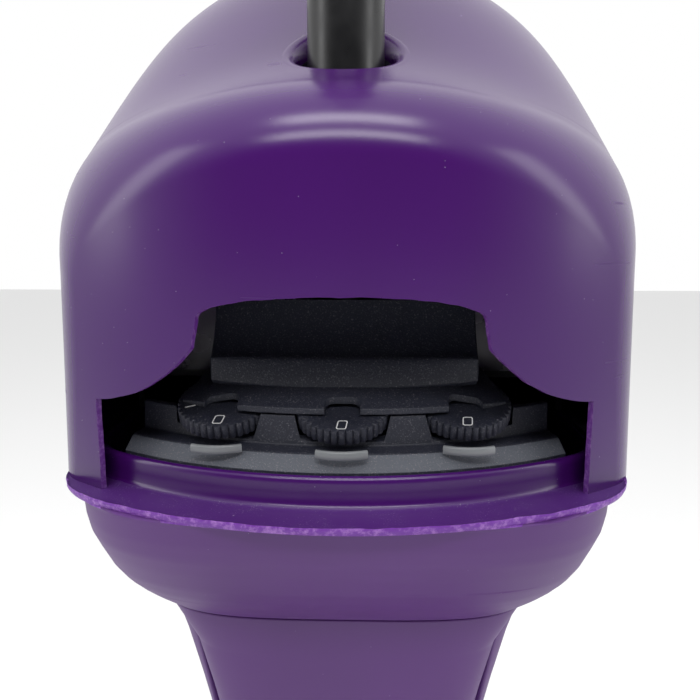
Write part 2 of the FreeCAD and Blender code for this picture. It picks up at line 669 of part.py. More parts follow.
def make_handle():
    rings = [("0", "hole_y", "tube_radius"), ("0", "hole_y", "tube_radius - tube_wall")]
    tube = circles_pad("tube", "XY", rings, "tube_low", "tube_high - flange_z - tube_low")
    part("handle_tube", cut("tube_drilled", tube, *bolt_rods("tube_hole")), "hood")
    heads = [rod("bolt_head_%d" % step, "x", "4.5", "23.2", "3.5", "hole_y", "-38 + 14 * %d" % step)
             for step in (0, 1)]
    part("tube_bolts", fuse("tube_bolts_group", *(bolt_rods("tube_bolt") + heads)), "hood")
    for name, height, arm in (("upper", "400", "34"), ("lower", "255", "30")):
        ring = rod("hook_ring_" + name, "z", "tube_radius + 5", height, "16", "0", "hole_y")
        bore = rod("hook_bore_" + name, "z", "tube_radius + slip", "%s - 1" % height, "18", "0", "hole_y")
        beam = box("hook_arm_" + name, ("-8", "8"), ("hole_y + 10", "hole_y + 18 + %s" % arm),
                   ("%s + 3" % height, "%s + 11" % height))
        tip = box("hook_tip_" + name, ("-8", "8"), ("hole_y + 12 + %s" % arm, "hole_y + 18 + %s" % arm),
                  ("%s + 3" % height, "%s + 32" % height))
        solid = fuse("hook_solid_" + name, ring, beam, tip)
        part("cord_hook_" + name, cut("hook_cut_" + name, solid, bore), "hood")


def circles_pad(name, plane, rings, offset, length):
    body = new_body(name)
    pad(body, name + "_pad", circles(body, name + "_rings", plane, rings, offset), length)
    return body


GRIP_SCREWS = (("loop_front + loop_round", "1015"), ("-135", "loop_high + loop_round"), ("-83", "978"))


def make_grip():
    """A closed loop handle on a socket, moulded in two halves that meet at the middle plane."""
    radius = size("loop_round")
    rear = -size("half_depth") + radius + size("loop_section")
    rings = [(size("loop_front"), size("loop_low"), radius), (size("loop_front"), size("loop_high"), radius),
             (rear, size("loop_high"), radius)]
    path = hull_path(rings)
    start = path.Edges[-1].Vertexes[-1].Point
    aim = path.Edges[-1].tangentAt(path.Edges[-1].LastParameter)
    ring = Part.Wire([Part.Circle(start, aim, size("loop_section")).toShape()])
    loop = coded("grip_loop", path.makePipeShell([ring], True, False))
    socket = rod("grip_socket", "z", "grip_radius", "grip_low", "loop_low - grip_low",
                 "0", "front_y + hole_y")
    bore = rod("grip_bore", "z", "tube_radius + slip", "grip_low - 1", "tube_high - grip_low + 2",
               "0", "front_y + hole_y")
    seat = box("switch_seat", ("-9.2", "9.2"), ("front_y + hole_y - 25", "front_y + hole_y - 7"),
               ("934", "966"))
    pin_hole = rod("trigger_pin_hole", "x", "2.5 + slip", "-30", "60", "-100", "loop_high + loop_round")
    holes = [rod("grip_screw_hole_%d" % step, "x", "1.6", "-9", "18", along, up)
             for step, (along, up) in enumerate(GRIP_SCREWS)]
    sinks = [rod("grip_screw_sink_%d" % step, "x", "3.4", "9", "20", along, up)
             for step, (along, up) in enumerate(GRIP_SCREWS)]
    for side, low, high in (("left", "-40", "-0.1"), ("right", "0.1", "40")):
        half_space = box("grip_side_" + side, (low, high), ("-half_depth - 5", "0"), ("870", "1100"))
        solid = fuse("grip_solid_" + side, loop, socket)
        hollow = cut("grip_hollow_" + side, solid, bore, seat, pin_hole, *(holes + sinks))
        part("grip_" + side, common("grip_half_" + side, hollow, half_space))
    pin = rod("trigger_pin_rod", "x", "2.5", "-19", "38", "-100", "loop_high + loop_round")
    part("trigger_pin", pin)
    shanks = [rod("grip_screw_%d" % step, "x", "1.6", "-9", "18.5", along, up)
              for step, (along, up) in enumerate(GRIP_SCREWS)]
    heads = [rod("grip_screw_head_%d" % step, "x", "3.1", "9", "2.4", along, up)
             for step, (along, up) in enumerate(GRIP_SCREWS)]
    part("grip_screws", fuse("grip_screws_group", *(shanks + heads)))


def make_trigger():
    """A lever under the top bar, hung by two cheeks on a pin through the bar."""
    bar = "loop_high + loop_round"
    blade = box("trigger_blade", ("-18", "18"), ("-152", "-96"), (bar + " - 28", bar + " - 22.5"))
    nose = box("trigger_cheeks", ("-18", "18"), ("-107", "-93"), (bar + " - 28", bar + " + 7"))
    gap = box("trigger_gap", ("-14.6", "14.6"), ("-110", "-88"), (bar + " - 22.5", bar + " + 10"))
    bore = rod("trigger_bore", "x", "2.5 + slip", "-30", "60", "-100", bar)
    taper = [box("trigger_slim_" + side, (low, high), ("-160", "-112"), (bar + " - 40", bar))
             for side, low, high in (("left", "-20", "-8"), ("right", "8", "20"))]
    solid = fuse("trigger_solid", blade, nose)
    return part("trigger", cut("trigger_cut", solid, gap, bore, *taper))


def make_switch():
    """A bezel let into the grip socket holds the rocker, which starts in the off position."""
    face = "front_y + hole_y - grip_radius"
    bezel = box("bezel_block", ("-9", "9"), (face + " - 1.5", face + " + 12"), ("934.2", "965.8"))
    well = box("bezel_well", ("-6.4", "6.4"), (face + " - 3", face + " + 10"), ("938", "962"))
    part("switch_bezel", cut("switch_bezel_cut", bezel, well))
    body = new_body("power_rocker")
    corners = [(face + " - 5", "939.6"), (face + " - 2", "950"), (face + " - 1.2", "960.4"),
               (face + " + 6", "957"), (face + " + 6", "943")]
    pad(body, "rocker_pad", outline(body, "rocker_profile", "YZ", corners), "12", True)
    part("power_rocker", body)


# ---- what the hood and bowl hold

def make_tank():
    """The solution tank follows the hood's inside and fills through a neck in its roof."""
    room = box("tank_room", ("-110", "110"), ("98", "300"), ("34", "300"))
    hollow_room = box("tank_hollow_room", ("-110", "110"), ("100.5", "300"), ("36.5", "300"))
    outside = common("tank_outside", coded("tank_arch", arch_form(12, 0)),
                     plan_form("tank_plan", "12", "0", "300"), room)
    inside = common("tank_inside", coded("tank_hollow_arch", arch_form(14.5, 0)),
                    plan_form("tank_hollow_plan", "14.5", "0", "300"), hollow_room)
    neck = rod("tank_neck", "z", "22", "peak_top - 22", "27", "0", "peak_y")
    mouth = rod("tank_mouth", "z", "19", "peak_top - 40", "60", "0", "peak_y")
    part("solution_tank", cut("tank_cut", fuse("tank_solid", outside, neck), inside, mouth), "hood")
    body = new_body("tank_cap")
    top, lip, seat = "peak_top + 11", "peak_top - 1.5", "peak_top + 5.3"
    corners = [("0", top), ("30", top), ("30", lip), ("22.4", lip), ("22.4", seat), ("0", seat)]
    profile = outline(body, "cap_profile", "XZ", [(across, up) for across, up in corners])
    lathe(body, "cap_turned", profile)
    part("tank_cap", body)
    move(body, "0", "front_y + peak_y", "flange_z")
    make_tank_shelf()


def make_tank_shelf():
    """A shelf on the collar carries the tank above the pump."""
    plate = box("shelf_plate", ("-107", "107"), ("100", "200"), ("30.5", "33.7"))
    legs = [box("shelf_leg_" + side, (low, high), ("110", "200"), ("collar_tall", "31"))
            for side, low, high in (("left", "-107", "-104"), ("right", "104", "107"))]
    window = box("shelf_window", ("-60", "60"), ("125", "180"), ("25", "40"))
    return part("tank_shelf", cut("shelf_cut", fuse("shelf_solid", plate, *legs), window), "hood")


def make_pump():
    shell = rod("pump_shell", "x", "20", "-45", "62", "165", "-18")
    head = box("pump_head", ("17", "46"), ("146", "184"), ("-36", "2"))
    barb = rod("pump_barb", "y", "3.5", "140", "12", "-36", "-28")
    foot = box("pump_foot", ("-40", "40"), ("150", "180"), ("-50", "-30"))
    part("pump", fuse("pump_solid", shell, head, barb, foot), "hood")
    inlet = box("inlet_body", ("-14", "14"), ("hood_depth - 22", "hood_depth - 0.2"),
                ("inlet_z - 10", "inlet_z + 10"))
    rim = box("inlet_rim", ("-18", "18"), ("hood_depth + 0.2", "hood_depth + 2"),
              ("inlet_z - 13.5", "inlet_z + 13.5"))
    stem = box("inlet_stem", ("-14", "14"), ("hood_depth - 1", "hood_depth + 1"),
               ("inlet_z - 10", "inlet_z + 10"))
    well = box("inlet_well", ("-11", "11"), ("hood_depth - 16", "hood_depth + 5"),
               ("inlet_z - 7", "inlet_z + 7"))
    pins = [box("inlet_pin_%d" % step, ("%s - 1" % across, "%s + 1" % across),
                ("hood_depth - 17", "hood_depth - 6"), (up, "%s + 4" % up))
            for step, (across, up) in enumerate((("-7", "inlet_z"), ("0", "inlet_z - 5"), ("7", "inlet_z")))]
    shell = cut("inlet_shell", fuse("inlet_solid", inlet, rim, stem), well)
    part("power_inlet", fuse("inlet_with_pins", shell, *pins), "hood")
    points = [Vector(-36, 139.8, -28), Vector(-36, 100, -28), Vector(-36, 72, -50), Vector(-34, 72, -150),
              Vector(-26, 92, -240), Vector(-22, 97, -288)]
    part("solution_hose", coded("hose", hose(points, 4, 12)), "hood")


# ---- floor head

def make_head_base():
    """A tray with the brush slot, roller pockets, and ears for the pivot and the axle."""
    low = "base_z"
    floor = "base_z + base_thick"
    front_tray = box("tray_front", ("-head_half", "head_half"), ("head_back", "head_front"),
                     (low, "base_tall"))
    back_tray = box("tray_back", ("-tail_half", "tail_half"), ("tail_end", "head_back + 2"),
                    (low, "base_tall - 22"))
    front_room = box("tray_front_room", ("-head_half + 3", "head_half - 3"),
                     ("head_back + 3", "head_front - 3"), (floor, "100"))
    back_room = box("tray_back_room", ("-tail_half + 3", "tail_half - 3"), ("tail_end + 3", "head_back"),
                    (floor, "100"))
    brush_slot = box("brush_slot", ("-131", "131"), ("brush_y - 33", "brush_y + 31"), ("0", "20"))
    pockets = [box("roller_pocket_" + side, ("%s - 9" % middle, "%s + 9" % middle),
                   ("roller_y - 13", "roller_y + 12"), ("0", "20"))
               for side, middle in (("left", "-roller_x"), ("right", "roller_x"))]
    lips = [box("roller_cheek_%d" % step, ("%s - 1.5" % middle, "%s + 1.5" % middle),
                ("roller_y - 12", "head_front - 2"), (low, "base_z + 14"))
            for step, middle in enumerate(("-roller_x - 10.8", "-roller_x + 10.8", "roller_x - 10.8",
                                           "roller_x + 10.8"))]
    roller_bore = rod("roller_bore", "x", "roller_pin", "-200", "400", "roller_y", "roller_radius")
    axle_bore = rod("axle_bore", "x", "axle_radius", "-200", "400", "wheel_y", "wheel_radius")
    pivot_bore = rod("pivot_bore", "x", "pivot_radius", "-200", "400", "pivot_y", "pivot_z")
    ears = []
    for side, near, far in (("left", "-ear_x - ear_thick", "-ear_x"),
                            ("right", "ear_x", "ear_x + ear_thick")):
        ears.append(box("ear_" + side, (near, far), ("pivot_y - 16", "pivot_y + 16"), (low, "pivot_z")))
        ears.append(rod("ear_top_" + side, "x", "16", near, "ear_thick", "pivot_y", "pivot_z"))
    axle_lugs = [box("axle_lug_" + side, (near, far), ("wheel_y - 14", "wheel_y + 14"), (low, "58"))
                 for side, near, far in (("left", "-tail_half", "-tail_half + 8"),
                                         ("right", "tail_half - 8", "tail_half"))]
    straps = [box("motor_strap_%d" % step, (start, start + " + 8"), ("motor_y - 12", "motor_y + 12"),
                  (low, "motor_z - motor_radius + 8")) for step, start in enumerate(("-132", "-70"))]
    bed = rod("motor_bed", "x", "motor_radius + slip", "-150", "100", "motor_y", "motor_z")
    post = box("pedal_post", ("78", "84"), ("-70", "-54"), (low, "74"))
    post_bore = rod("pedal_post_bore", "x", "3", "70", "30", "-62", "66")
    solid = fuse("base_solid", front_tray, back_tray)
    tray = cut("base_tray", solid, front_room, back_room, brush_slot, *pockets)
    full = fuse("base_full", tray, post, *(lips + ears + axle_lugs + straps))
    return part("head_base", cut("base_cut", full, roller_bore, axle_bore, pivot_bore, bed,
                                 post_bore))


def make_head_cover():
    outside = box("cover_block", ("-head_half", "head_half"), ("head_back", "head_front"),
                  ("base_tall + gap", "cover_top"))
    soft = rounded("cover_soft", outside, "cover_round",
                   lambda edge: edge.BoundBox.ZMin > size("cover_top") - 1
                   or abs(edge.tangentAt(edge.FirstParameter).z) > 0.9)
    room = box("cover_room", ("-head_half + 3", "head_half - 3"), ("head_back + 3", "head_front - 3"),
               ("base_tall - 1", "cover_top - 3"))
    room_soft = rounded("cover_room_soft", room, "cover_round - 3",
                        lambda edge: edge.BoundBox.ZMin > size("cover_top") - 5
                        or abs(edge.tangentAt(edge.FirstParameter).z) > 0.9)
    return part("head_cover", cut("head_cover_cut", soft, room_soft))


def make_running_gear():
    part("pivot_shaft", rod("pivot_rod", "x", "pivot_radius", "-ear_x - ear_thick - 2",
                            "2 * (ear_x + ear_thick + 2)", "pivot_y", "pivot_z"))
    part("rear_axle", rod("axle_rod", "x", "axle_radius", "-wheel_x - wheel_wide / 2 - 4",
                          "2 * wheel_x + wheel_wide + 8", "wheel_y", "wheel_radius"))
    for side, middle, inner in (("left", "-wheel_x", "-roller_x"), ("right", "wheel_x", "roller_x")):
        half = "wheel_wide / 2"
        hub = [("axle_radius + slip", "-%s" % half), ("12", "-%s" % half), ("12", "-4"), ("28", "-4"),
               ("28", "-9"), ("35", "-9"), ("35", "9"), ("28", "9"), ("28", "4"), ("12", "4"),
               ("12", half), ("axle_radius + slip", half)]
        tyre = [("35", "-9"), ("35", "9"), ("39", half), ("wheel_radius - 2", half),
                ("wheel_radius", "7"), ("wheel_radius", "-7"), ("wheel_radius - 2", "-%s" % half),
                ("39", "-%s" % half)]
        for name, corners in (("wheel_" + side, hub), ("tyre_" + side, tyre)):
            body = new_body(name)
            swapped = [(along, radius) for radius, along in corners]
            lathe(body, name + "_turned", outline(body, name + "_profile", "XZ", swapped), "H_Axis")
            part(name, body)
            move(body, middle, "wheel_y", "wheel_radius")
        small = rod("roller_solid_" + side, "x", "roller_radius", "%s - roller_wide / 2" % inner,
                    "roller_wide", "roller_y", "roller_radius")
        hole = rod("roller_hole_" + side, "x", "roller_pin + slip", "%s - 20" % inner, "40",
                   "roller_y", "roller_radius")
        part("roller_" + side, cut("roller_cut_" + side, small, hole))
    pins = [rod("roller_pin_%d" % step, "x", "roller_pin", "%s - 12.3" % middle, "24.6",
                "roller_y", "roller_radius") for step, middle in enumerate(("-roller_x", "roller_x"))]
    part("roller_pins", fuse("roller_pins_group", *pins))
    clips = []
    for step, start in enumerate(("-wheel_x - wheel_wide / 2 - 2.2", "wheel_x + wheel_wide / 2 + 0.7")):
        ring = rod("clip_ring_%d" % step, "x", "axle_radius + 3", start, "1.5", "wheel_y", "wheel_radius")
        hole = rod("clip_hole_%d" % step, "x", "axle_radius", "-200", "400", "wheel_y", "wheel_radius")
        clips.append(cut("clip_%d" % step, ring, hole))
    part("axle_clips", fuse("axle_clips_group", *clips))


def make_brush():
    half = "brush_long / 2"
    body = new_body("brush_core")
    corners = [("-" + half, "0"), (half, "0"), (half, "brush_core"), ("-" + half, "brush_core")]
    lathe(body, "core_turned", outline(body, "core_profile", "XZ", corners), "H_Axis")
    ends = circles(body, "journal_ring", "YZ", [("0", "0", "journal")], "pulley_x - 4")
    pad(body, "journals", ends, "142 - pulley_x + 4")
    part("brush_core", body)
    move(body, "0", "brush_y", "brush_z")
    outer = rod("bristle_tube", "x", "brush_radius", "-brush_long / 2 + 2", "brush_long - 4",
                "brush_y", "brush_z")
    inner = rod("bristle_hole", "x", "brush_core", "-200", "400", "brush_y", "brush_z")
    part("brush_bristles", cut("bristles_cut", outer, inner))
    blocks = []
    for side, start in (("left", "-141"), ("right", "133.5")):
        block = box("bearing_block_" + side, (start, start + " + 7.5"), ("brush_y - 10", "brush_y + 10"),
                    ("base_z + base_thick", "brush_z + 12"))
        hole = rod("bearing_hole_" + side, "x", "journal + slip", "-200", "400", "brush_y", "brush_z")
        blocks.append(cut("bearing_cut_" + side, block, hole))
    part("brush_bearings", fuse("bearings_group", *blocks))
    wheel = rod("brush_pulley_rim", "x", "brush_pulley", "pulley_x - pulley_wide / 2", "pulley_wide",
                "brush_y", "brush_z")
    hole = rod("brush_pulley_hole", "x", "journal", "-200", "400", "brush_y", "brush_z")
    part("brush_pulley", cut("brush_pulley_cut", wheel, hole))
    part("motor_pulley", cut("motor_pulley_cut", rod("motor_pulley_rim", "x", "motor_pulley",
                                                     "pulley_x - pulley_wide / 2", "pulley_wide",
                                                     "motor_y", "motor_z"),
                             rod("motor_pulley_hole", "x", "3", "-200", "400", "motor_y", "motor_z")))
    part("motor_shaft", rod("motor_rod", "x", "3", "pulley_x - 4", "90", "motor_y", "motor_z"))
    can = rod("motor_can", "x", "motor_radius", "-140", "88", "motor_y", "motor_z")
    hole = rod("motor_hole", "x", "3 + slip", "-141", "80", "motor_y", "motor_z")
    part("brush_motor", cut("motor_cut", can, hole))
    clear = size("gap")
    rings = [(size("brush_y"), size("brush_z"), size("brush_pulley") + clear),
             (size("motor_y"), size("motor_z"), size("motor_pulley") + clear)]
    grown = [(y_mid, z_mid, radius + size("belt_thick")) for y_mid, z_mid, radius in rings]
    wide = size("pulley_wide")
    start = Vector(size("pulley_x") - wide / 2, 0, 0)
    solids = []
    for group in (grown, rings):
        face = Part.Face(hull_path(group))
        face.translate(start)
        solids.append(face.extrude(Vector(wide, 0, 0)))
    part("brush_belt", coded("belt", solids[0].cut(solids[1])))


def make_suction():
    """Fan, recovery tank with its lid, and the suction nozzle that feeds it."""
    fan = rod("fan_can", "z", "fan_radius", "fan_low", "fan_high - fan_low", "fan_x", "fan_y")
    eye = rod("fan_eye", "z", "12", "fan_high - 20", "30", "fan_x", "fan_y")
    part("fan_motor", cut("fan_cut", fan, eye))
    block = box("recovery_block", ("-tank_half", "tank_half"), ("tank_back", "tank_front"),
                ("tank_low", "tank_high"))
    soft = rounded("recovery_soft", block, "14",
                   lambda edge: abs(edge.tangentAt(edge.FirstParameter).z) > 0.9)
    room = box("recovery_room", ("-tank_half + 3", "tank_half - 3"), ("tank_back + 3", "tank_front - 3"),
               ("tank_low + 3", "tank_high + 5"))
    room_soft = rounded("recovery_room_soft", room, "11",
                        lambda edge: abs(edge.tangentAt(edge.FirstParameter).z) > 0.9)
    port = box("recovery_port", ("-40", "40"), ("tank_front - 5", "tank_front + 5"), ("98", "112"))
    part("recovery_tank", cut("recovery_cut", soft, room_soft, port))
    lid = box("lid_block", ("-tank_half", "tank_half"), ("tank_back", "tank_front"),
              ("tank_high + gap", "tank_high + 7"))
    part("recovery_lid", rounded("lid_soft", lid, "5", lambda edge: edge.BoundBox.ZMin > size("tank_high") + 6
                                 or abs(edge.tangentAt(edge.FirstParameter).z) > 0.9))
    body = new_body("suction_nozzle")
    skin = [("head_front + gap", "5"), ("half_depth - 3", "5"), ("half_depth - 3", "98"),
            ("half_depth - 9", "116"), ("tank_front + gap", "116"), ("tank_front + gap", "94"),
            ("head_front + gap", "94")]
    pad(body, "nozzle_pad", outline(body, "nozzle_profile", "YZ", skin), "2 * 120", True)
    duct = [("head_front + 2.5", "4"), ("half_depth - 5", "4"), ("half_depth - 5", "97"),
            ("half_depth - 11", "112"), ("tank_front - 5", "112"), ("tank_front - 5", "98"),
            ("head_front + 2.5", "98")]
    pocket(body, "nozzle_duct", outline(body, "duct_profile", "YZ", duct), "80", True)
    part("suction_nozzle", body)
    part("bumper", box("bumper_strip", ("-118", "118"), ("half_depth - 3 + gap", "half_depth"),
                       ("30", "44")))
    part("squeegee", box("squeegee_strip", ("-120", "120"), ("head_front + gap", "head_front + 2.2"),
                         ("1", "4.8")))
    feed = [Vector(66, -13, 30), Vector(92, 5, 42), Vector(92, 55, 66), Vector(92, 73.7, 66)]
    part("head_hose", coded("head_hose_run", hose(feed, 3, 8)))
    bar = rod("spray_tube", "x", "4", "-120", "240", "78", "66")
    tips = [rod("spray_tip_%d" % step, "z", "2.5", "55", "9", "%d" % (-80 + 80 * step), "78")
            for step in range(3)]
    part("spray_bar", fuse("spray_bar_solid", bar, *tips))


def make_pedal():
    """A foot pedal behind the pivot lets the handle recline."""
    pin = ("-62", "66")
    arm = box("pedal_arm", ("60", "76"), ("-126", "-62"), ("60", "70"))
    foot = box("pedal_foot", ("56", "96"), ("-146", "-118"), ("62", "70"))
    boss = rod("pedal_boss", "x", "8", "60", "16", *pin)
    bore = rod("pedal_bore", "x", "3 + slip", "40", "60", *pin)
    part("recline_pedal", cut("pedal_cut", fuse("pedal_solid", arm, foot, boss), bore))
    part("pedal_pin", rod("pedal_pin_rod", "x", "3", "54.3", "32", *pin))


for make in (make_hood, make_lower_shell, make_column, make_yoke, make_tube_socket, make_control_base,
             make_control_cover, make_dials, make_valves, make_detents, make_handle, make_grip,
             make_trigger, make_switch, make_tank, make_pump, make_head_base, make_head_cover,
             make_running_gear, make_brush, make_suction, make_pedal):
    make()

doc.recompute()
for item in doc.Objects:
    if "Invalid" in item.State or "Error" in item.State:
        raise RuntimeError("%s failed to build" % item.Name)
os.makedirs("parts", exist_ok=True)
for item in parts:
    if item.Shape.isNull() or not item.Shape.isValid():
        raise RuntimeError("%s has no valid shape" % item.Label)
for item in parts:
    item.Shape.exportStep("parts/%s.step" % item.Label)
    print("%-20s %10.0f mm3" % (item.Label, item.Shape.Volume))
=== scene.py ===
import json
import math

import bmesh
import bpy
import numpy as np
from mathutils import Matrix, Vector


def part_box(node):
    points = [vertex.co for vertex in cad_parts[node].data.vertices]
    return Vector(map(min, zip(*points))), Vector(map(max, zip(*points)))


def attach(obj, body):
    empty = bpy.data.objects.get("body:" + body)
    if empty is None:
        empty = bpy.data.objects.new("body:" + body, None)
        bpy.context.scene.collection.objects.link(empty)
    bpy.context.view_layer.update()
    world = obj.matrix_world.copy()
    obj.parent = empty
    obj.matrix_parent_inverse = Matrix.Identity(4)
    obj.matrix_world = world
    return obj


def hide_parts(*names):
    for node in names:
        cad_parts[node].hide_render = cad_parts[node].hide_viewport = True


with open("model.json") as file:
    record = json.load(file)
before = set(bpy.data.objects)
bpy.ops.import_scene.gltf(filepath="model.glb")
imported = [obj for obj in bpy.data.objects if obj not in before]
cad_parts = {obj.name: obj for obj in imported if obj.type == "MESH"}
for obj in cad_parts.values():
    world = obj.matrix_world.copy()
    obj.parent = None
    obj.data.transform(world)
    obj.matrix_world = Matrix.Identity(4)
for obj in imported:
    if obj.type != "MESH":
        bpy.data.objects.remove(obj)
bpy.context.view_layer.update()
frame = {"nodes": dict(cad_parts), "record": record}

# The upright carpet cleaner's looks.  Metres, +X operator's right, +Y away from the operator, +Z up.
RNG = np.random.default_rng(7)
MM = 0.001


# ---- places read from the frame

def low(node):
    return Vector(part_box(node)[0])


def high(node):
    return Vector(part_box(node)[1])


HOOD_LOW, HOOD_HIGH = low("hood"), high("hood")
FRONT_Y = HOOD_LOW.y
FLANGE_Z = HOOD_LOW.z
HALF = 121.5 * MM
WALL = 2.4 * MM
BOW = 183 * MM
DEPTH = HOOD_HIGH.y - HOOD_LOW.y
BACK_BOW = 154 * MM
TUBE_MIDDLE = (low("handle_tube") + high("handle_tube")) / 2


def place(points):
    """Moves points given from the hood's front middle at the flange into the frame."""
    moved = np.array(points, dtype=float)
    moved[..., 1] += FRONT_Y
    moved[..., 2] += FLANGE_Z
    return moved


# ---- mesh helpers

def new_object(name, vertices, faces, material, body, smooth=True, edge_angle=40):
    mesh = bpy.data.meshes.new(name)
    mesh.from_pydata([tuple(vertex) for vertex in vertices], [], [tuple(face) for face in faces])
    mesh.update()
    piece = bpy.data.objects.new(name, mesh)
    bpy.context.scene.collection.objects.link(piece)
    mesh.materials.append(material)
    tidy_mesh(piece)
    if smooth:
        soften(piece, edge_angle)
    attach(piece, body)
    return piece


def tidy_mesh(piece):
    work = bmesh.new()
    work.from_mesh(piece.data)
    bmesh.ops.remove_doubles(work, verts=work.verts, dist=0.000004)
    bmesh.ops.dissolve_degenerate(work, edges=work.edges, dist=0.000002)
    bmesh.ops.recalc_face_normals(work, faces=work.faces)
    work.to_mesh(piece.data)
    work.free()


def soften(piece, edge_angle):
    """Smooth shading with sharp edges kept where faces meet above the angle."""
    work = bmesh.new()
    work.from_mesh(piece.data)
    limit = math.radians(edge_angle)
    for face in work.faces:
        face.smooth = True
    for edge in work.edges:
        if len(edge.link_faces) == 2:
            edge.smooth = edge.calc_face_angle(0) < limit
    work.to_mesh(piece.data)
    work.free()


def apply_modifiers(piece):
    graph = bpy.context.evaluated_depsgraph_get()
    made = bpy.data.meshes.new_from_object(piece.evaluated_get(graph))
    piece.modifiers.clear()
    piece.data = made
    return piece


def grid_faces(rows, columns, wrap_rows=False, wrap_columns=False):
    faces = []
    for row in range(rows if wrap_rows else rows - 1):
        for column in range(columns if wrap_columns else columns - 1):
            after_row = (row + 1) % rows
            after_column = (column + 1) % columns
            faces.append((row * columns + column, row * columns + after_column,
                          after_row * columns + after_column, after_row * columns + column))
    return faces


def cut_away(piece, cutters):
    """Cuts helper solids out of a piece."""
    for cutter in cutters:
        modifier = piece.modifiers.new("cut", "BOOLEAN")
        modifier.operation = "DIFFERENCE"
        modifier.solver = "EXACT"
        modifier.object = cutter
    apply_modifiers(piece)
    for cutter in cutters:
        bpy.data.objects.remove(cutter, do_unlink=True)
    return piece


def helper(name, vertices, faces):
    mesh = bpy.data.meshes.new(name)
    mesh.from_pydata([tuple(vertex) for vertex in vertices], [], [tuple(face) for face in faces])
    piece = bpy.data.objects.new(name, mesh)
    bpy.context.scene.collection.objects.link(piece)
    tidy_mesh(piece)
    return piece


def prism(name, outline, axis_from, axis_to):
    """A helper solid: an outline of 3-D points pushed along a vector."""
    count = len(outline)
    shift = Vector(axis_to) - Vector(axis_from)
    vertices = [Vector(point) for point in outline] + [Vector(point) + shift for point in outline]
    faces = [tuple(range(count)), tuple(range(2 * count - 1, count - 1, -1))]
    faces += [(index, (index + 1) % count, count + (index + 1) % count, count + index)
              for index in range(count)]
    return helper(name, vertices, faces)


def round_bar(name, centre, direction, radius, length, sides=64):
    """A helper cylinder from centre along direction."""
    turn = Vector(direction).to_track_quat("Z", "Y")
    ring = [Vector(centre) + turn @ Vector((radius * math.cos(2 * math.pi * step / sides),
                                            radius * math.sin(2 * math.pi * step / sides), 0))
            for step in range(sides)]
    return prism(name, ring, (0, 0, 0), Vector(direction).normalized() * length)


# ---- materials

def shader(name, base, roughness, **sockets):
    material = bpy.data.materials.new(name)
    material.use_nodes = True
    surface = material.node_tree.nodes["Principled BSDF"]
    surface.inputs["Base Color"].default_value = (*base, 1)
    surface.inputs["Roughness"].default_value = roughness
    for socket, number in sockets.items():
        surface.inputs[socket.replace("_", " ")].default_value = number
    return material


def node(material, kind, **settings):
    made = material.node_tree.nodes.new(kind)
    for name, setting in settings.items():
        if name in made.inputs:
            made.inputs[name].default_value = setting
        else:
            setattr(made, name, setting)
    return made


def link(material, source, target):
    material.node_tree.links.new(source, target)


def surface_of(material):
    return material.node_tree.nodes["Principled BSDF"]


def coordinates(material, stretch=(1, 1, 1)):
    """Object coordinates, stretched, for a procedural texture."""
    source = node(material, "ShaderNodeTexCoord")
    mapping = node(material, "ShaderNodeMapping", Scale=stretch)
    link(material, source.outputs["Object"], mapping.inputs["Vector"])
    return mapping.outputs["Vector"]


def noise(material, vector, scale, detail=3.0, roughness=0.55):
    made = node(material, "ShaderNodeTexNoise", Scale=scale, Detail=detail, Roughness=roughness)
    link(material, vector, made.inputs["Vector"])
    return made.outputs["Fac"]


def ramp(material, factor, start, end, low_value=0.0, high_value=1.0):
    made = node(material, "ShaderNodeMapRange")
    made.inputs["From Min"].default_value = start
    made.inputs["From Max"].default_value = end
    made.inputs["To Min"].default_value = low_value
    made.inputs["To Max"].default_value = high_value
    link(material, factor, made.inputs["Value"])
    return made.outputs["Result"]


def blend_color(material, factor, first, second):
    made = node(material, "ShaderNodeMix", data_type="RGBA")
    link(material, factor, made.inputs[0])
    for socket, color in ((made.inputs[6], first), (made.inputs[7], second)):
        if isinstance(color, tuple):
            socket.default_value = (*color, 1)
        else:
            link(material, color, socket)
    return made.outputs[2]


def math_node(material, operation, first, second):
    made = node(material, "ShaderNodeMath", operation=operation)
    for socket, number in ((made.inputs[0], first), (made.inputs[1], second)):
        if isinstance(number, (int, float)):
            socket.default_value = number
        else:
            link(material, number, socket)
    return made.outputs[0]


def bump(material, height, strength, distance, under=None):
    made = node(material, "ShaderNodeBump", Strength=strength, Distance=distance)
    link(material, height, made.inputs["Height"])
    if under is not None:
        link(material, under, made.inputs["Normal"])
    return made.outputs["Normal"]


def specks(material, vector, scale, size, chance):
    """Scattered small spots: 1 inside a spot, 0 elsewhere."""
    made = node(material, "ShaderNodeTexVoronoi", Scale=scale)
    link(material, vector, made.inputs["Vector"])
    near = ramp(material, made.outputs["Distance"], size, size * 0.6)
    split = node(material, "ShaderNodeSeparateColor")
    link(material, made.outputs["Color"], split.inputs["Color"])
    chosen = math_node(material, "LESS_THAN", split.outputs[0], chance)
    return math_node(material, "MULTIPLY", near, chosen)


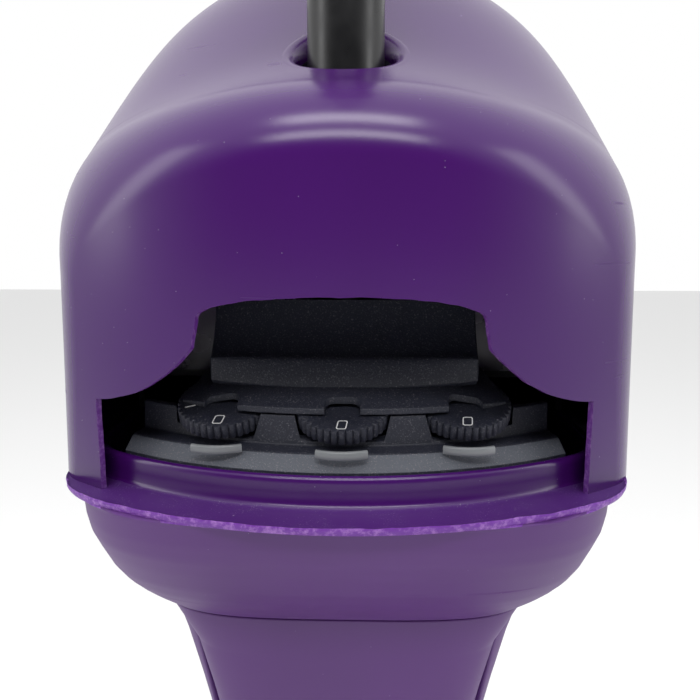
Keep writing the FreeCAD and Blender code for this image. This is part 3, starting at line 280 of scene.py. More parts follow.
def moulded_purple(name, base, roughness, dust, waves):
    """Moulded plastic: faint flow marks, short fine scratches and a scatter of dust."""
    material = shader(name, base, roughness, Specular_IOR_Level=0.5)
    vector = coordinates(material)
    flow = noise(material, coordinates(material, (1, 1, 0.35)), 9.0, 2.0)
    tone = blend_color(material, ramp(material, flow, 0.35, 0.7), base,
                       tuple(channel * 1.18 for channel in base))
    spots = specks(material, vector, 150.0, 0.055, dust)
    fine = specks(material, vector, 520.0, 0.10, dust * 1.2)
    dusty = math_node(material, "MAXIMUM", spots, fine)
    color = blend_color(material, math_node(material, "MULTIPLY", dusty, 0.6), tone, (0.42, 0.34, 0.52))
    link(material, color, surface_of(material).inputs["Base Color"])
    scratch = hair_scratches(material)
    worn = ramp(material, scratch, 0.0, 1.0, roughness, roughness + 0.25)
    rough = math_node(material, "MAXIMUM", worn, math_node(material, "MULTIPLY", dusty, 0.8))
    link(material, rough, surface_of(material).inputs["Roughness"])
    ripple = bump(material, noise(material, vector, 22.0, 1.0), waves, 0.0012)
    peel = bump(material, noise(material, vector, 900.0, 1.0), 0.03, 0.0002, ripple)
    raised = bump(material, dusty, 0.4, 0.0002, peel)
    link(material, raised, surface_of(material).inputs["Normal"])
    return material


def hair_scratches(material):
    """Thin marks that run in a few directions and break up along their length."""
    marks = []
    for turn, tall in ((0.5, 300.0), (-0.7, 240.0), (1.35, 340.0)):
        source = node(material, "ShaderNodeTexCoord")
        mapping = node(material, "ShaderNodeMapping", Rotation=(0, turn, 0), Scale=(6, 6, tall))
        link(material, source.outputs["Object"], mapping.inputs["Vector"])
        thin = ramp(material, noise(material, mapping.outputs["Vector"], 1.0, 1.0), 0.735, 0.76)
        marks.append(thin)
    either = math_node(material, "MAXIMUM", marks[0], marks[1])
    either = math_node(material, "MAXIMUM", either, marks[2])
    patch = ramp(material, noise(material, coordinates(material), 26.0, 2.0), 0.52, 0.62)
    return math_node(material, "MULTIPLY", either, patch)


def cut_edge(name, dark, pale):
    """Stress-whitened purple where the moulding was trimmed."""
    material = shader(name, dark, 0.5)
    vector = coordinates(material)
    spread = ramp(material, noise(material, vector, 420.0, 4.0, 0.7), 0.46, 0.68)
    color = blend_color(material, spread, dark, pale)
    link(material, color, surface_of(material).inputs["Base Color"])
    rough = bump(material, noise(material, vector, 700.0, 4.0, 0.7), 0.7, 0.0004)
    link(material, rough, surface_of(material).inputs["Normal"])
    return material


def textured_black(name, base, roughness, grain=0.55, painted_glint_strength=0.35):
    """Spark-textured black plastic with pale grains painted on as glints (painted highlight) and a little
    dust.
    """
    material = shader(name, base, roughness)
    vector = coordinates(material)
    grains = noise(material, vector, 1500.0, 2.0, 0.6)
    # painted highlight: the grain tips are painted pale to stand for glints of light, then joined with real
    # dust specks
    pale = math_node(material, "MULTIPLY", ramp(material, grains, 0.56, 0.74), painted_glint_strength)
    dust = math_node(material, "MAXIMUM", pale, specks(material, vector, 480.0, 0.10, 0.05))
    color = blend_color(material, dust, base, (0.20, 0.19, 0.21))
    link(material, color, surface_of(material).inputs["Base Color"])
    link(material, ramp(material, grains, 0.3, 0.7, roughness - 0.08, roughness + 0.12),
         surface_of(material).inputs["Roughness"])
    link(material, bump(material, grains, grain, 0.0004), surface_of(material).inputs["Normal"])
    return material


def plain_satin(name, base, roughness, scale=180.0, strength=0.12, metallic=0.0):
    """A satin finish with slight colour drift and a fine surface."""
    material = shader(name, base, roughness, Metallic=metallic)
    vector = coordinates(material)
    drift = noise(material, vector, 22.0, 3.0)
    darker = tuple(channel * 0.82 for channel in base)
    paler = tuple(min(1.0, channel * 1.2) for channel in base)
    color = blend_color(material, ramp(material, drift, 0.3, 0.7), darker, paler)
    link(material, color, surface_of(material).inputs["Base Color"])
    link(material, ramp(material, noise(material, vector, 60.0, 4.0), 0.3, 0.7, roughness - 0.06,
                        roughness + 0.1), surface_of(material).inputs["Roughness"])
    link(material, bump(material, noise(material, vector, scale * 4, 3.0), strength, 0.0004),
         surface_of(material).inputs["Normal"])
    return material


def brushed_metal(name, base, roughness):
    material = plain_satin(name, base, roughness, 90.0, 0.08, 1.0)
    return material


def smoky_tank(name, base):
    material = plain_satin(name, base, 0.22, 60.0, 0.05)
    surface = surface_of(material)
    surface.inputs["Transmission Weight"].default_value = 0.45
    surface.inputs["IOR"].default_value = 1.45
    return material


PURPLE = (0.046, 0.0038, 0.104)
GLOSS = moulded_purple("purple_gloss", PURPLE, 0.24, 0.035, 0.035)
SATIN = moulded_purple("purple_satin", (0.075, 0.016, 0.140), 0.50, 0.02, 0.03)
EDGE = cut_edge("purple_cut_edge", (0.10, 0.014, 0.20), (0.25, 0.12, 0.37))
FLASH = cut_edge("purple_flash", (0.14, 0.02, 0.30), (0.34, 0.15, 0.50))
# the last number is the strength of the painted glint on the grains; the ledge takes it in full
BLACK = textured_black("black_textured", (0.015, 0.017, 0.030), 0.52, 0.55, 0.5)
LEDGE = textured_black("black_ledge", (0.085, 0.093, 0.115), 0.55, 0.7, 1.0)
GREY = plain_satin("grey_plastic", (0.085, 0.088, 0.092), 0.45)
TAB = plain_satin("grey_tab", (0.20, 0.21, 0.22), 0.35, 120.0, 0.1)
TUBE = plain_satin("black_tube", (0.007, 0.007, 0.008), 0.30, 120.0, 0.06)
DARK = plain_satin("dark_plastic", (0.018, 0.018, 0.020), 0.42)
TANK = smoky_tank("tank_clear", (0.30, 0.27, 0.36))
LID = plain_satin("tank_lid", (0.018, 0.018, 0.020), 0.2, 100.0, 0.04)
RUBBER = plain_satin("rubber_black", (0.013, 0.013, 0.013), 0.75, 260.0, 0.3)
BRISTLE = plain_satin("bristle", (0.030, 0.030, 0.034), 0.55, 300.0, 0.2)
STEEL = brushed_metal("steel", (0.55, 0.55, 0.56), 0.28)
CAN = brushed_metal("motor_can", (0.40, 0.40, 0.41), 0.42)
ALLOY = brushed_metal("alloy", (0.60, 0.60, 0.61), 0.35)
MARK = plain_satin("white_mark", (0.72, 0.72, 0.72), 0.6, 200.0, 0.1)
SLOTS = {"purple_gloss": GLOSS, "purple_satin": SATIN, "black_textured": BLACK, "grey_plastic": GREY,
         "black_tube": TUBE, "dark_plastic": DARK, "tank_clear": TANK, "tank_lid": LID,
         "rubber_black": RUBBER, "bristle": BRISTLE, "steel": STEEL, "motor_can": CAN, "alloy": ALLOY}


def dress_cad_nodes():
    """Each CAD node takes the finish of its slot in the record."""
    for entry in frame["record"]["subparts"]:
        piece = frame["nodes"][entry["node"]]
        for slot in piece.material_slots:
            slot.material = SLOTS[entry["material_slot"]]


# ---- plan outlines

def arc_points(centre, radius, start, end, count):
    turns = np.linspace(start, end, count)
    return np.stack([centre[0] + radius * np.cos(turns), centre[1] + radius * np.sin(turns)], axis=1)


def plan_outline(front_radius, half, back_radius, front_corner, back_corner):
    """The right half of the hood's plan, from the front middle round to the back middle."""
    points = []
    rims = ((BOW, front_radius, front_corner, -1), (DEPTH - BACK_BOW, back_radius, back_corner, 1))
    for middle, radius, corner, side in rims:
        swing = math.sqrt((radius - corner) ** 2 - (half - corner) ** 2)
        centre = (half - corner, middle + side * swing)
        meets = math.atan2(side * swing, half - corner)
        rim = arc_points((0, middle), radius, side * math.pi / 2, meets, 60)
        turn = arc_points(centre, corner, meets, 0, 40)
        both = np.concatenate([rim, turn[1:]])
        points.append(both if side < 0 else both[::-1])
    return np.concatenate(points)


def by_angle(outline, turns):
    """Points of a plan outline at the given turns about its middle; turn 0 is the front."""
    middle = DEPTH / 2
    full = np.concatenate([outline, outline[::-1] * [-1, 1]])
    angle = np.unwrap(np.arctan2(full[:, 0], middle - full[:, 1]))
    order = np.argsort(angle)
    angle, full = angle[order], full[order]
    angle = np.concatenate([angle - 2 * math.pi, angle, angle + 2 * math.pi])
    full = np.concatenate([full, full, full])
    return np.stack([np.interp(turns, angle, full[:, 0]), np.interp(turns, angle, full[:, 1])], axis=1)


def oval(half, front, back, power, turns):
    """Points of a rounded bowl section at the given turns; turn 0 is the front."""
    deep = (back - front) / 2
    across, along = np.sin(turns), -np.cos(turns)
    reach = (np.abs(across / half) ** power + np.abs(along / deep) ** power) ** (-1 / power)
    return np.stack([reach * across, (front + back) / 2 + reach * along], axis=1)


def jagged(count, size, smooth=3):
    """A closed run of small random steps, for trimmed edges."""
    rough = RNG.normal(0, 1, count)
    soft = np.convolve(np.concatenate([rough, rough, rough]), np.ones(smooth) / smooth, "same")
    return soft[count:2 * count] * size


# ---- hood

STATIONS = np.array([(-4, 146, 66), (14, 150, 71), (73, 174.5, 103), (150, 228, 144), (205, 252, 156),
                     (262, 218, 130), (300, 150, 78)]) * MM
BASE_DRAW = 0.008
FILLET = 21 * MM
FILLET_BACK = 33 * MM
BACK_FILLET = 30 * MM
OPENING = {"half": 95.5 * MM, "side": 37 * MM, "shoulder": 53 * MM, "step": 60 * MM,
           "spring": 70 * MM, "top": 79 * MM}


def smooth_curve(stations, column, at):
    """A natural cubic through the stations, read at the given depths."""
    xs, ys = stations[:, 0], stations[:, column]
    count = len(xs)
    gaps = np.diff(xs)
    matrix = np.eye(count)
    right = np.zeros(count)
    for index in range(1, count - 1):
        matrix[index, index - 1:index + 2] = (gaps[index - 1], 2 * (gaps[index - 1] + gaps[index]),
                                              gaps[index])
        right[index] = 6 * ((ys[index + 1] - ys[index]) / gaps[index]
                            - (ys[index] - ys[index - 1]) / gaps[index - 1])
    bends = np.linalg.solve(matrix, right)
    at = np.clip(at, xs[0], xs[-1])
    spot = np.clip(np.searchsorted(xs, at) - 1, 0, count - 2)
    gap = gaps[spot]
    left, rest = xs[spot + 1] - at, at - xs[spot]
    return (bends[spot] * left ** 3 / (6 * gap) + bends[spot + 1] * rest ** 3 / (6 * gap)
            + (ys[spot] / gap - bends[spot] * gap / 6) * left
            + (ys[spot + 1] / gap - bends[spot + 1] * gap / 6) * rest)


def arch(share, depth):
    """A point of the arch section: share runs 0 to 1 from the left foot over to the right foot."""
    side = 0.3
    top = smooth_curve(STATIONS, 1, depth)
    spring = smooth_curve(STATIONS, 2, depth)
    turn = np.clip((share - side) / (1 - 2 * side), 0, 1) * math.pi
    rise = np.clip(np.minimum(share, 1 - share) / side, 0, 1)
    draw_in = 1 - BASE_DRAW * (1 - rise) ** 2
    return -HALF * draw_in * np.cos(turn), spring * rise + (top - spring) * np.sin(turn)


def front_of(across):
    """How far back the bowed front has gone at this distance from the middle."""
    return BOW - np.sqrt(BOW ** 2 - across ** 2)


def back_of(across):
    """How far back the bowed rear wall lies at this distance from the middle."""
    return DEPTH - BACK_BOW + np.sqrt(BACK_BOW ** 2 - across ** 2)


def opening_outline():
    """Half of the control opening, from its foot to its crown, on the left."""
    half, side = OPENING["half"], OPENING["side"]
    shoulder, step = OPENING["shoulder"], OPENING["step"]
    spring, top = OPENING["spring"], OPENING["top"]
    leg = np.stack([np.full(26, half), np.linspace(0, side, 26)], axis=1)
    share = np.linspace(0, 1, 26)[1:, None]
    bend = np.array([shoulder + (half - shoulder) * 0.40, side + (step - side) * 0.12])
    curve = ((1 - share) ** 2 * np.array([half, side]) + 2 * share * (1 - share) * bend
             + share ** 2 * np.array([shoulder, step]))
    riser = np.linspace([shoulder, step], [shoulder - 2 * MM, spring], 8)[1:]
    sweep = np.linspace(0, math.pi / 2, 40)[1:]
    eave = np.array([shoulder - 2 * MM, spring])
    crown = np.stack([eave[0] * np.cos(sweep) ** 0.92,
                      spring + (top - spring) * np.sin(sweep) ** 0.9], axis=1)
    right = np.concatenate([leg, curve, riser, crown])
    return right * [-1, 1]


def hood_lines():
    """Matching runs of the opening outline and the arch share, foot to foot."""
    left = opening_outline()
    outline = np.concatenate([left, left[-2::-1] * [-1, 1]])
    turn = np.arctan2(outline[:, 1], outline[:, 0])
    shares = np.linspace(0, 1, 2001)
    across = arch(shares, np.zeros(2001))[0]
    edge_x, edge_z = arch(shares, front_of(across))
    edge_turn = np.arctan2(edge_z, edge_x)
    share = np.interp(-turn, -edge_turn, shares)
    return outline, share


def hood_surface():
    outline, share = hood_lines()
    count = len(share)
    leg = 0.5 + 0.5 * np.clip(np.minimum(share, 1 - share) / 0.3, 0, 1)
    corner_x = arch(share, np.zeros(count))[0]
    start, finish = front_of(corner_x), back_of(corner_x)
    corner_z = arch(share, start)[1]
    corner = np.stack([corner_x, start, corner_z], axis=1)
    ragged = outline + np.stack([jagged(count, 0.16 * MM), jagged(count, 0.2 * MM)], axis=1)
    ragged[[0, -1]] = outline[[0, -1]]
    inward = ragged - corner[:, [0, 2]]
    reach = np.linalg.norm(inward, axis=1, keepdims=True)
    inward = inward / reach
    rows = []
    for part_way in np.concatenate([[0, 0.012, 0.03], np.linspace(0.06, 1, 22)]):
        flat = ragged + (corner[:, [0, 2]] + inward * FILLET * leg[:, None] - ragged) * part_way
        rows.append(np.stack([flat[:, 0], front_of(flat[:, 0]), flat[:, 1]], axis=1))
    rows += bend_rows(rows[-1], corner, tunnel(share, start + FILLET_BACK * leg), 16)
    crease = FILLET_BACK + 7 * MM
    steps = np.concatenate([[2, 4, 5.6], [6.5, 7, 7.5, 8.4], np.linspace(10, 60, 12)]) * MM + FILLET_BACK
    for step in steps:
        row = tunnel(share, start + step - FILLET_BACK * (1 - leg))
        rows.append(pressed(row, share, 0.28 * MM if abs(step - crease) < 0.1 * MM else 0.0))
    last = start + steps[-1] - FILLET_BACK * (1 - leg)
    for part_way in np.linspace(0, 1, 46)[1:]:
        rows.append(tunnel(share, last + (finish - BACK_FILLET - last) * part_way))
    back_corner = tunnel(share, finish)
    slit_z = np.minimum(share, 1 - share) * 2 * 105 * MM
    slit = np.stack([np.zeros(count), back_of(np.zeros(count)), slit_z], axis=1)
    aim = slit[:, [0, 2]] - back_corner[:, [0, 2]]
    aim = aim / np.linalg.norm(aim, axis=1, keepdims=True)
    flat = back_corner[:, [0, 2]] + aim * BACK_FILLET
    turned = np.stack([flat[:, 0], back_of(flat[:, 0]), flat[:, 1]], axis=1)
    rows += bend_rows(rows[-1], back_corner, turned, 12)
    for part_way in np.linspace(0, 1, 20)[1:]:
        mixed = flat + (slit[:, [0, 2]] - flat) * part_way
        rows.append(np.stack([mixed[:, 0], back_of(mixed[:, 0]), mixed[:, 1]], axis=1))
    return np.array(rows)


def tunnel(share, depth):
    across, up = arch(share, depth)
    return np.stack([across, depth, up], axis=1)


def bend_rows(first, corner, last, count):
    """A round bend from one row to another about their shared corner."""
    weight = 0.78
    rows = []
    for part_way in np.linspace(0, 1, count + 1)[1:]:
        a, b, c = (1 - part_way) ** 2, 2 * weight * part_way * (1 - part_way), part_way ** 2
        rows.append((a * first + b * corner + c * last) / (a + b + c))
    return rows


def pressed(row, share, depth):
    """The moulding's parting line is pressed a little into both shoulders."""
    fade = np.clip(1 - np.abs(np.minimum(share, 1 - share) - 0.25) / 0.2, 0, 1)
    outward = row - np.array([0, 0, 60 * MM]) - row * [0, 1, 0]
    outward = outward / np.linalg.norm(outward, axis=1, keepdims=True)
    return row - outward * (depth * fade)[:, None]


def make_hood():
    surface = hood_surface()
    rows, columns = surface.shape[:2]
    piece = new_object("hood_shell", place(surface).reshape(-1, 3), grid_faces(rows, columns), GLOSS,
                       "upper", smooth=False)
    if face_towards_front(piece) > 0:
        piece.data.flip_normals()
    piece.data.materials.append(EDGE)
    wall = piece.modifiers.new("wall", "SOLIDIFY")
    wall.thickness = WALL
    wall.offset = -1
    wall.use_even_offset = True
    wall.material_offset_rim = 1
    apply_modifiers(piece)
    hole_y = TUBE_MIDDLE.y
    cap = (low("tank_cap") + high("tank_cap")) / 2
    inlet = (low("power_inlet") + high("power_inlet")) / 2
    socket = [(inlet.x + x * MM, HOOD_HIGH.y - 25 * MM, inlet.z + z * MM)
              for x, z in ((-14.3, -10.3), (14.3, -10.3), (14.3, 10.3), (-14.3, 10.3))]
    cut_away(piece, [round_bar("tube_cut", (0, hole_y, FLANGE_Z + 0.1), (0, 0, 1), LIP_OUT, 0.2),
                     round_bar("cap_cut", (0, cap.y, FLANGE_Z + 0.2), (0, 0, 1), 27 * MM, 0.1),
                     prism("inlet_cut", socket, (0, 0, 0), (0, 50 * MM, 0))])
    tidy_mesh(piece)
    soften(piece, 32)
    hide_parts("hood")
    return piece


def face_towards_front(piece):
    """Positive when the faces near the front middle look away from the operator."""
    total = 0.0
    for face in piece.data.polygons:
        if face.center.y < FRONT_Y + 12 * MM and face.center.z > FLANGE_Z + 90 * MM:
            total += face.normal.y
    return total


LIP_IN = 20.5 * MM
LIP_OUT = 26.5 * MM


def roof_height(across, depth):
    """Height of the roof over a point of the plan."""
    top = smooth_curve(STATIONS, 1, depth)
    spring = smooth_curve(STATIONS, 2, depth)
    return spring + (top - spring) * np.sqrt(np.clip(1 - (across / HALF) ** 2, 0, 1))


def make_tube_lip():
    """The roof rolls down into the hole that the handle tube passes through."""
    turns = np.linspace(0, 2 * math.pi, 96, endpoint=False)
    centre = TUBE_MIDDLE.y - FRONT_Y
    rows = []
    for radius, drop in ((LIP_OUT + 0.4 * MM, 0.25), (LIP_OUT, 0.0), (LIP_OUT - 1.6 * MM, -0.1),
                         (LIP_OUT - 3 * MM, 0.25), (LIP_OUT - 4.2 * MM, 1.0), (LIP_OUT - 5.2 * MM, 2.3),
                         (LIP_IN, 4.6), (LIP_IN + 0.1 * MM, 8.0), (LIP_IN + 2.4 * MM, 8.0),
                         (LIP_IN + 3 * MM, 5.0), (LIP_OUT, 3.4)):
        across = radius * np.sin(turns)
        depth = centre - radius * np.cos(turns)
        up = roof_height(LIP_OUT * np.sin(turns), centre - LIP_OUT * np.cos(turns))
        inner = roof_height(across, depth)
        rows.append(np.stack([across, depth, np.where(radius < LIP_OUT, inner, up) - drop * MM], axis=1))
    rows = np.array(rows)
    piece = new_object("hood_tube_lip", place(rows).reshape(-1, 3),
                       grid_faces(len(rows), 96, True, True), GLOSS, "upper", edge_angle=70)
    return piece


# ---- lower shell

def flange_plan():
    return plan_outline(BOW + 9 * MM, HALF - 3.5 * MM, BACK_BOW + 2 * MM, 44 * MM, 50 * MM)


def make_lower_shell():
    """Collar, flange with its trimmed edge, bowl and neck, as one closed wall."""
    count = 480
    turns = np.linspace(-math.pi, math.pi, count, endpoint=False)
    collar_in, collar_out = 13.5 * MM, 9.5 * MM

    def plan(inset, front=0.0, side=0.0, back=0.0, corner=30 * MM):
        outline = plan_outline(BOW - inset + front, HALF - 4 * MM - inset + side,
                               BACK_BOW - inset + back, corner, 50 * MM)
        return by_angle(outline, turns)

    flash = jagged(count, 0.30 * MM, 3) + jagged(count, 0.22 * MM, 9)
    lift = np.abs(jagged(count, 0.35 * MM, 5))
    bowl = ((117, -1, 284, -3, 4.0), (117, 0, 282, -7, 4.0), (116.8, 1.5, 278, -13, 4.0),
            (115.8, 4, 272, -20, 4.0), (113.8, 8.5, 259, -28, 3.9), (110.8, 15, 240, -38, 3.8),
            (107.2, 21.5, 217, -45.5, 3.7), (102.4, 28.5, 190, -52, 3.6), (96, 35.5, 160, -57.6, 3.6),
            (89, 40, 138, -61.6, 3.6), (84, 42, 128, -64, 3.6))
    rings = []

    def ring(points, height, drift=0.0, rise=0.0):
        centre = np.array([0, DEPTH / 2])
        outward = (points - centre) / np.linalg.norm(points - centre, axis=1, keepdims=True)
        moved = points + outward * np.broadcast_to(drift, count)[:, None]
        level = height * MM + np.broadcast_to(rise, count)
        rings.append(np.stack([moved[:, 0], moved[:, 1], level], axis=1))

    ring(plan(collar_in), -2)
    ring(plan(collar_in), 9.6)
    for turn in np.linspace(0, math.pi, 9)[1:-1]:
        middle, radius = (collar_in + collar_out) / 2, (collar_in - collar_out) / 2
        ring(plan(middle + radius * math.cos(turn)), 9.8 + 2.2 * math.sin(turn))
    ring(plan(collar_out), 9.2)
    ring(plan(collar_out), 6.0)
    ring(plan(collar_out - 0.3 * MM), 2.2)
    ring(plan(collar_out - 0.9 * MM), 0.7)
    ring(plan(collar_out - 2.4 * MM), 0.1)
    edge = by_angle(flange_plan(), turns)
    inner = plan(collar_out - 2.4 * MM)
    for part_way in (0.2, 0.45, 0.7, 0.88):
        ring(inner + (edge - inner) * part_way, 0.0, 0.0, jagged(count, 0.06 * MM))
    ring(edge, 0.15, -0.9 * MM + flash * 0.3, lift * 0.5)
    ring(edge, 0.5, flash - 0.2 * MM, lift)
    ring(edge, -0.3, flash)
    ring(edge, -1.4, flash * 0.6 - 0.3 * MM)
    ring(edge, -2.4, flash * 0.2 - 0.8 * MM)
    first = oval(bowl[0][0] * MM, bowl[0][1] * MM, bowl[0][2] * MM, bowl[0][4], turns)
    ring(edge + (first - edge) * 0.5, -2.9)
    ring(edge + (first - edge) * 0.9, -3.1)
    for height in np.concatenate([np.linspace(-3.4, -13, 8), np.linspace(-15, -62, 28), [-63, -63.9]]):
        half, front, back, power = bowl_row(bowl, height)
        ring(oval(half * MM, front * MM, back * MM, power, turns), height)
    for height in (-63.9, -60, -50, -38, -20, -6):
        half, front, back, power = bowl_row(bowl, height)
        ring(oval((half - 3.5) * MM, (front + 3.5) * MM, (back - 3.5) * MM, power, turns), height)
    rings_array = np.array(rings)
    piece = new_object("lower_shell_moulding", place(rings_array).reshape(-1, 3),
                       grid_faces(len(rings), count, True, True), SATIN, "upper", edge_angle=50)
    piece.data.materials.append(GLOSS)
    piece.data.materials.append(FLASH)
    piece.data.materials.append(FLANGE_TOP)
    for face in piece.data.polygons:
        up = (face.center.z - FLANGE_Z) / MM
        if up > 0.75:
            face.material_index = 1
    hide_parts("lower_shell")
    paint_flange(piece)
    return piece


def bowl_row(bowl, height):
    """The bowl's half width, front, back and squareness at a height."""
    heights = np.array([row[3] for row in bowl])
    return [np.interp(-height, -heights, [entry[index] for entry in bowl]) for index in (0, 1, 2, 4)]


def paint_flange(piece):
    """The flange top is dusty and its trimmed edge is bright."""
    outline = flange_plan()
    full = np.concatenate([outline, outline * [-1, 1]])
    for face in piece.data.polygons:
        up = (face.center.z - FLANGE_Z) / MM
        if -2.8 < up <= 0.95:
            spot = np.array([face.center.x, face.center.y - FRONT_Y])
            gap = np.min(np.linalg.norm(full - spot, axis=1))
            if gap < 2.4 * MM and abs(face.normal.z) < 0.8:
                face.material_index = 2
            elif up > -0.5:
                face.material_index = 3


# ---- column

def column_rings(sections, turns):
    """Rounded sections (half, front, back, level, squareness) up the column, smoothly joined."""
    levels = np.array([row[3] for row in sections], dtype=float)
    heights = np.unique(np.concatenate([np.linspace(levels[0], levels[-1], 60),
                                        np.linspace(levels[-1] - 50, levels[-1], 40)]))
    rings = []
    for height in heights:
        half, front, back, power = (np.interp(height, levels, [row[index] for row in sections])
                                    for index in (0, 1, 2, 4))
        flat = oval(half * MM, front * MM, back * MM, power, turns)
        rings.append(np.concatenate([flat, np.full((len(turns), 1), height * MM)], axis=1))
    return np.array(rings)


def channel(name, sections, start, finish, node_name):
    """An open channel: part of the way round the column, given a wall thickness."""
    turns = np.linspace(start, finish, 161)
    rings = column_rings(sections, turns)
    rows, columns = rings.shape[:2]
    piece = new_object(name, rings.reshape(-1, 3), grid_faces(rows, columns), SATIN, "upper",
                       smooth=False)
    wall = piece.modifiers.new("wall", "SOLIDIFY")
    wall.thickness = 3 * MM
    wall.offset = -1 if outward(piece) else 1
    wall.use_even_offset = True
    edges = piece.modifiers.new("edges", "BEVEL")
    edges.width = 0.9 * MM
    edges.segments = 3
    edges.limit_method = "ANGLE"
    edges.angle_limit = math.radians(60)
    apply_modifiers(piece)
    soften(piece, 40)
    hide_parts(node_name)
    return piece


def outward(piece):
    """True when the faces look away from the column's middle."""
    total = 0.0
    for face in piece.data.polygons:
        middle = (low("column_spine").y + high("column_spine").y) / 2
        total += face.normal.dot(Vector((face.center.x, face.center.y - middle, 0)))
    return total > 0


def make_column():
    """The front cover flows down out of the neck; the spine shows as a strip either side."""
    top, foot = high("column_cover").z / MM, low("column_cover").z / MM
    neck_front, neck_back = FRONT_Y / MM + 42, FRONT_Y / MM + 128
    foot_front, foot_back = low("column_cover").y / MM + 34, high("column_spine").y / MM
    sections = []
    for share, half, power in ((0, 37.5, 4.2), (0.4, 50, 4.2), (0.7, 63, 4.2), (0.84, 71, 4.1),
                               (0.93, 77, 3.9), (0.98, 81.5, 3.7), (1, 83.4, 3.6)):
        sections.append((half, foot_front + (neck_front - foot_front) * share,
                         foot_back + (neck_back - foot_back) * share, foot + (top - foot) * share, power))
    inner = [(half - 6.5 * min(1, (1 - (level - foot) / (top - foot)) * 12 + 0.12), front,
              back - 4, level, power) for half, front, back, level, power in sections]
    cover = math.radians(103)
    channel("column_front", inner, -cover, cover, "column_cover")
    spine_start = math.radians(66)
    channel("column_back", [(half, front + 7, back, level, power)
                            for half, front, back, level, power in sections],
            spine_start, 2 * math.pi - spine_start, "column_spine")


def dusty_flange(name):
    """Dark satin purple under a fine fall of pale dust."""
    material = moulded_purple(name, (0.050, 0.008, 0.115), 0.5, 0.25, 0.05)
    surface = surface_of(material)
    before = surface.inputs["Base Color"].links[0].from_socket
    vector = coordinates(material)
    grains = ramp(material, noise(material, vector, 1500.0, 3.0, 0.7), 0.60, 0.70)
    drift = ramp(material, noise(material, vector, 90.0, 3.0), 0.40, 0.70)
    dust = math_node(material, "MULTIPLY", grains, drift)
    color = blend_color(material, math_node(material, "MULTIPLY", dust, 0.8), before, (0.48, 0.42, 0.55))
    link(material, color, surface.inputs["Base Color"])
    return material


FLANGE_TOP = dusty_flange("purple_flange_top")


# ---- control module

def swept(name, profile, half, material, inner_arcs=96):
    """A closed profile of (depth, height) swept on the hood front's bow; half is its half width."""
    limit = math.asin(half / BOW)
    turns = np.linspace(-limit, limit, inner_arcs)
    rows = []
    for turn in turns:
        rows.append([((BOW - depth) * math.sin(turn), BOW - (BOW - depth) * math.cos(turn), up)
                     for depth, up in profile])
    rows = np.array(rows)
    count = rows.shape[1]
    faces = grid_faces(len(rows), count, False, True)
    faces.append(tuple(range(count - 1, -1, -1)))
    faces.append(tuple(range((len(rows) - 1) * count, len(rows) * count)))
    return new_object(name, place(rows).reshape(-1, 3), faces, material, "upper", edge_angle=35)


def rounded_profile(corners, steps=5):
    """(depth, height, radius) corners in mm, each turned into a small arc."""
    points = []
    count = len(corners)
    for index, (depth, up, radius) in enumerate(corners):
        here = np.array([depth, up], dtype=float)
        before = np.array(corners[index - 1][:2], dtype=float)
        after = np.array(corners[(index + 1) % count][:2], dtype=float)
        if radius <= 0:
            points.append(here)
            continue
        arrive = (here - before) / np.linalg.norm(here - before)
        leave = (after - here) / np.linalg.norm(after - here)
        trim = radius * math.tan(math.acos(np.clip(np.dot(arrive, leave), -1, 1)) / 2)
        start, end = here - arrive * trim, here + leave * trim
        for step in np.linspace(0, 1, steps):
            points.append((1 - step) ** 2 * start + 2 * step * (1 - step) * here + step ** 2 * end)
    return np.array(points) * MM


DIAL_TILT = math.radians(20)
DIAL_AXIS = Vector((0, -math.sin(DIAL_TILT), math.cos(DIAL_TILT)))
DIAL_RADIUS = (high("dial_centre").x - low("dial_centre").x) / 2
DIAL_THICK = 6.5 * MM


def dial_top(name):
    """The middle of a dial's top face."""
    lower, upper = low(name), high(name)
    edge_y = lower.y + DIAL_RADIUS * math.cos(DIAL_TILT)
    return Vector(((lower.x + upper.x) / 2, edge_y, upper.z - DIAL_RADIUS * math.sin(DIAL_TILT)))


DIALS = ("dial_left", "dial_centre", "dial_right")


def make_deck():
    """Sloping lip, ledge and front wall, with a round well for each dial."""
    corners = [(13.8, 5, 0), (13.8, 12.2, 1.2), (18.4, 18.2, 2.6), (24.3, 19.3, 1.2), (24.9, 31.0, 0.8),
               (28, 31.0, 0), (28, 7, 0), (50, 7, 0), (50, 4.2, 0)]
    deck = swept("deck_moulding", rounded_profile(corners), 97 * MM, BLACK)
    cutters = []
    for name in DIALS:
        top = dial_top(name)
        cutters.append(round_bar("well", top - DIAL_AXIS * 9.2 * MM, DIAL_AXIS, DIAL_RADIUS + 1.1 * MM,
                                 30 * MM, 96))
        cutters.append(round_bar("hole", top - DIAL_AXIS * 60 * MM, DIAL_AXIS, 3.6 * MM, 60 * MM, 32))
    cut_away(deck, cutters)
    deck.data.materials.append(LEDGE)
    for face in deck.data.polygons:
        spot = face.center - Vector((0, FRONT_Y, FLANGE_Z))
        near = BOW - math.hypot(spot.x, BOW - spot.y)
        if face.normal.z > 0.25 and near < 18.0 * MM:
            face.material_index = 1
    edges = deck.modifiers.new("edges", "BEVEL")
    edges.width = 0.45 * MM
    edges.segments = 2
    edges.limit_method = "ANGLE"
    edges.angle_limit = math.radians(50)
    apply_modifiers(deck)
    tidy_mesh(deck)
    soften(deck, 35)
    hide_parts("control_base")
    return deck


def plate_height(depth):
    return 34.0 + 0.48 * (depth - 24.0)


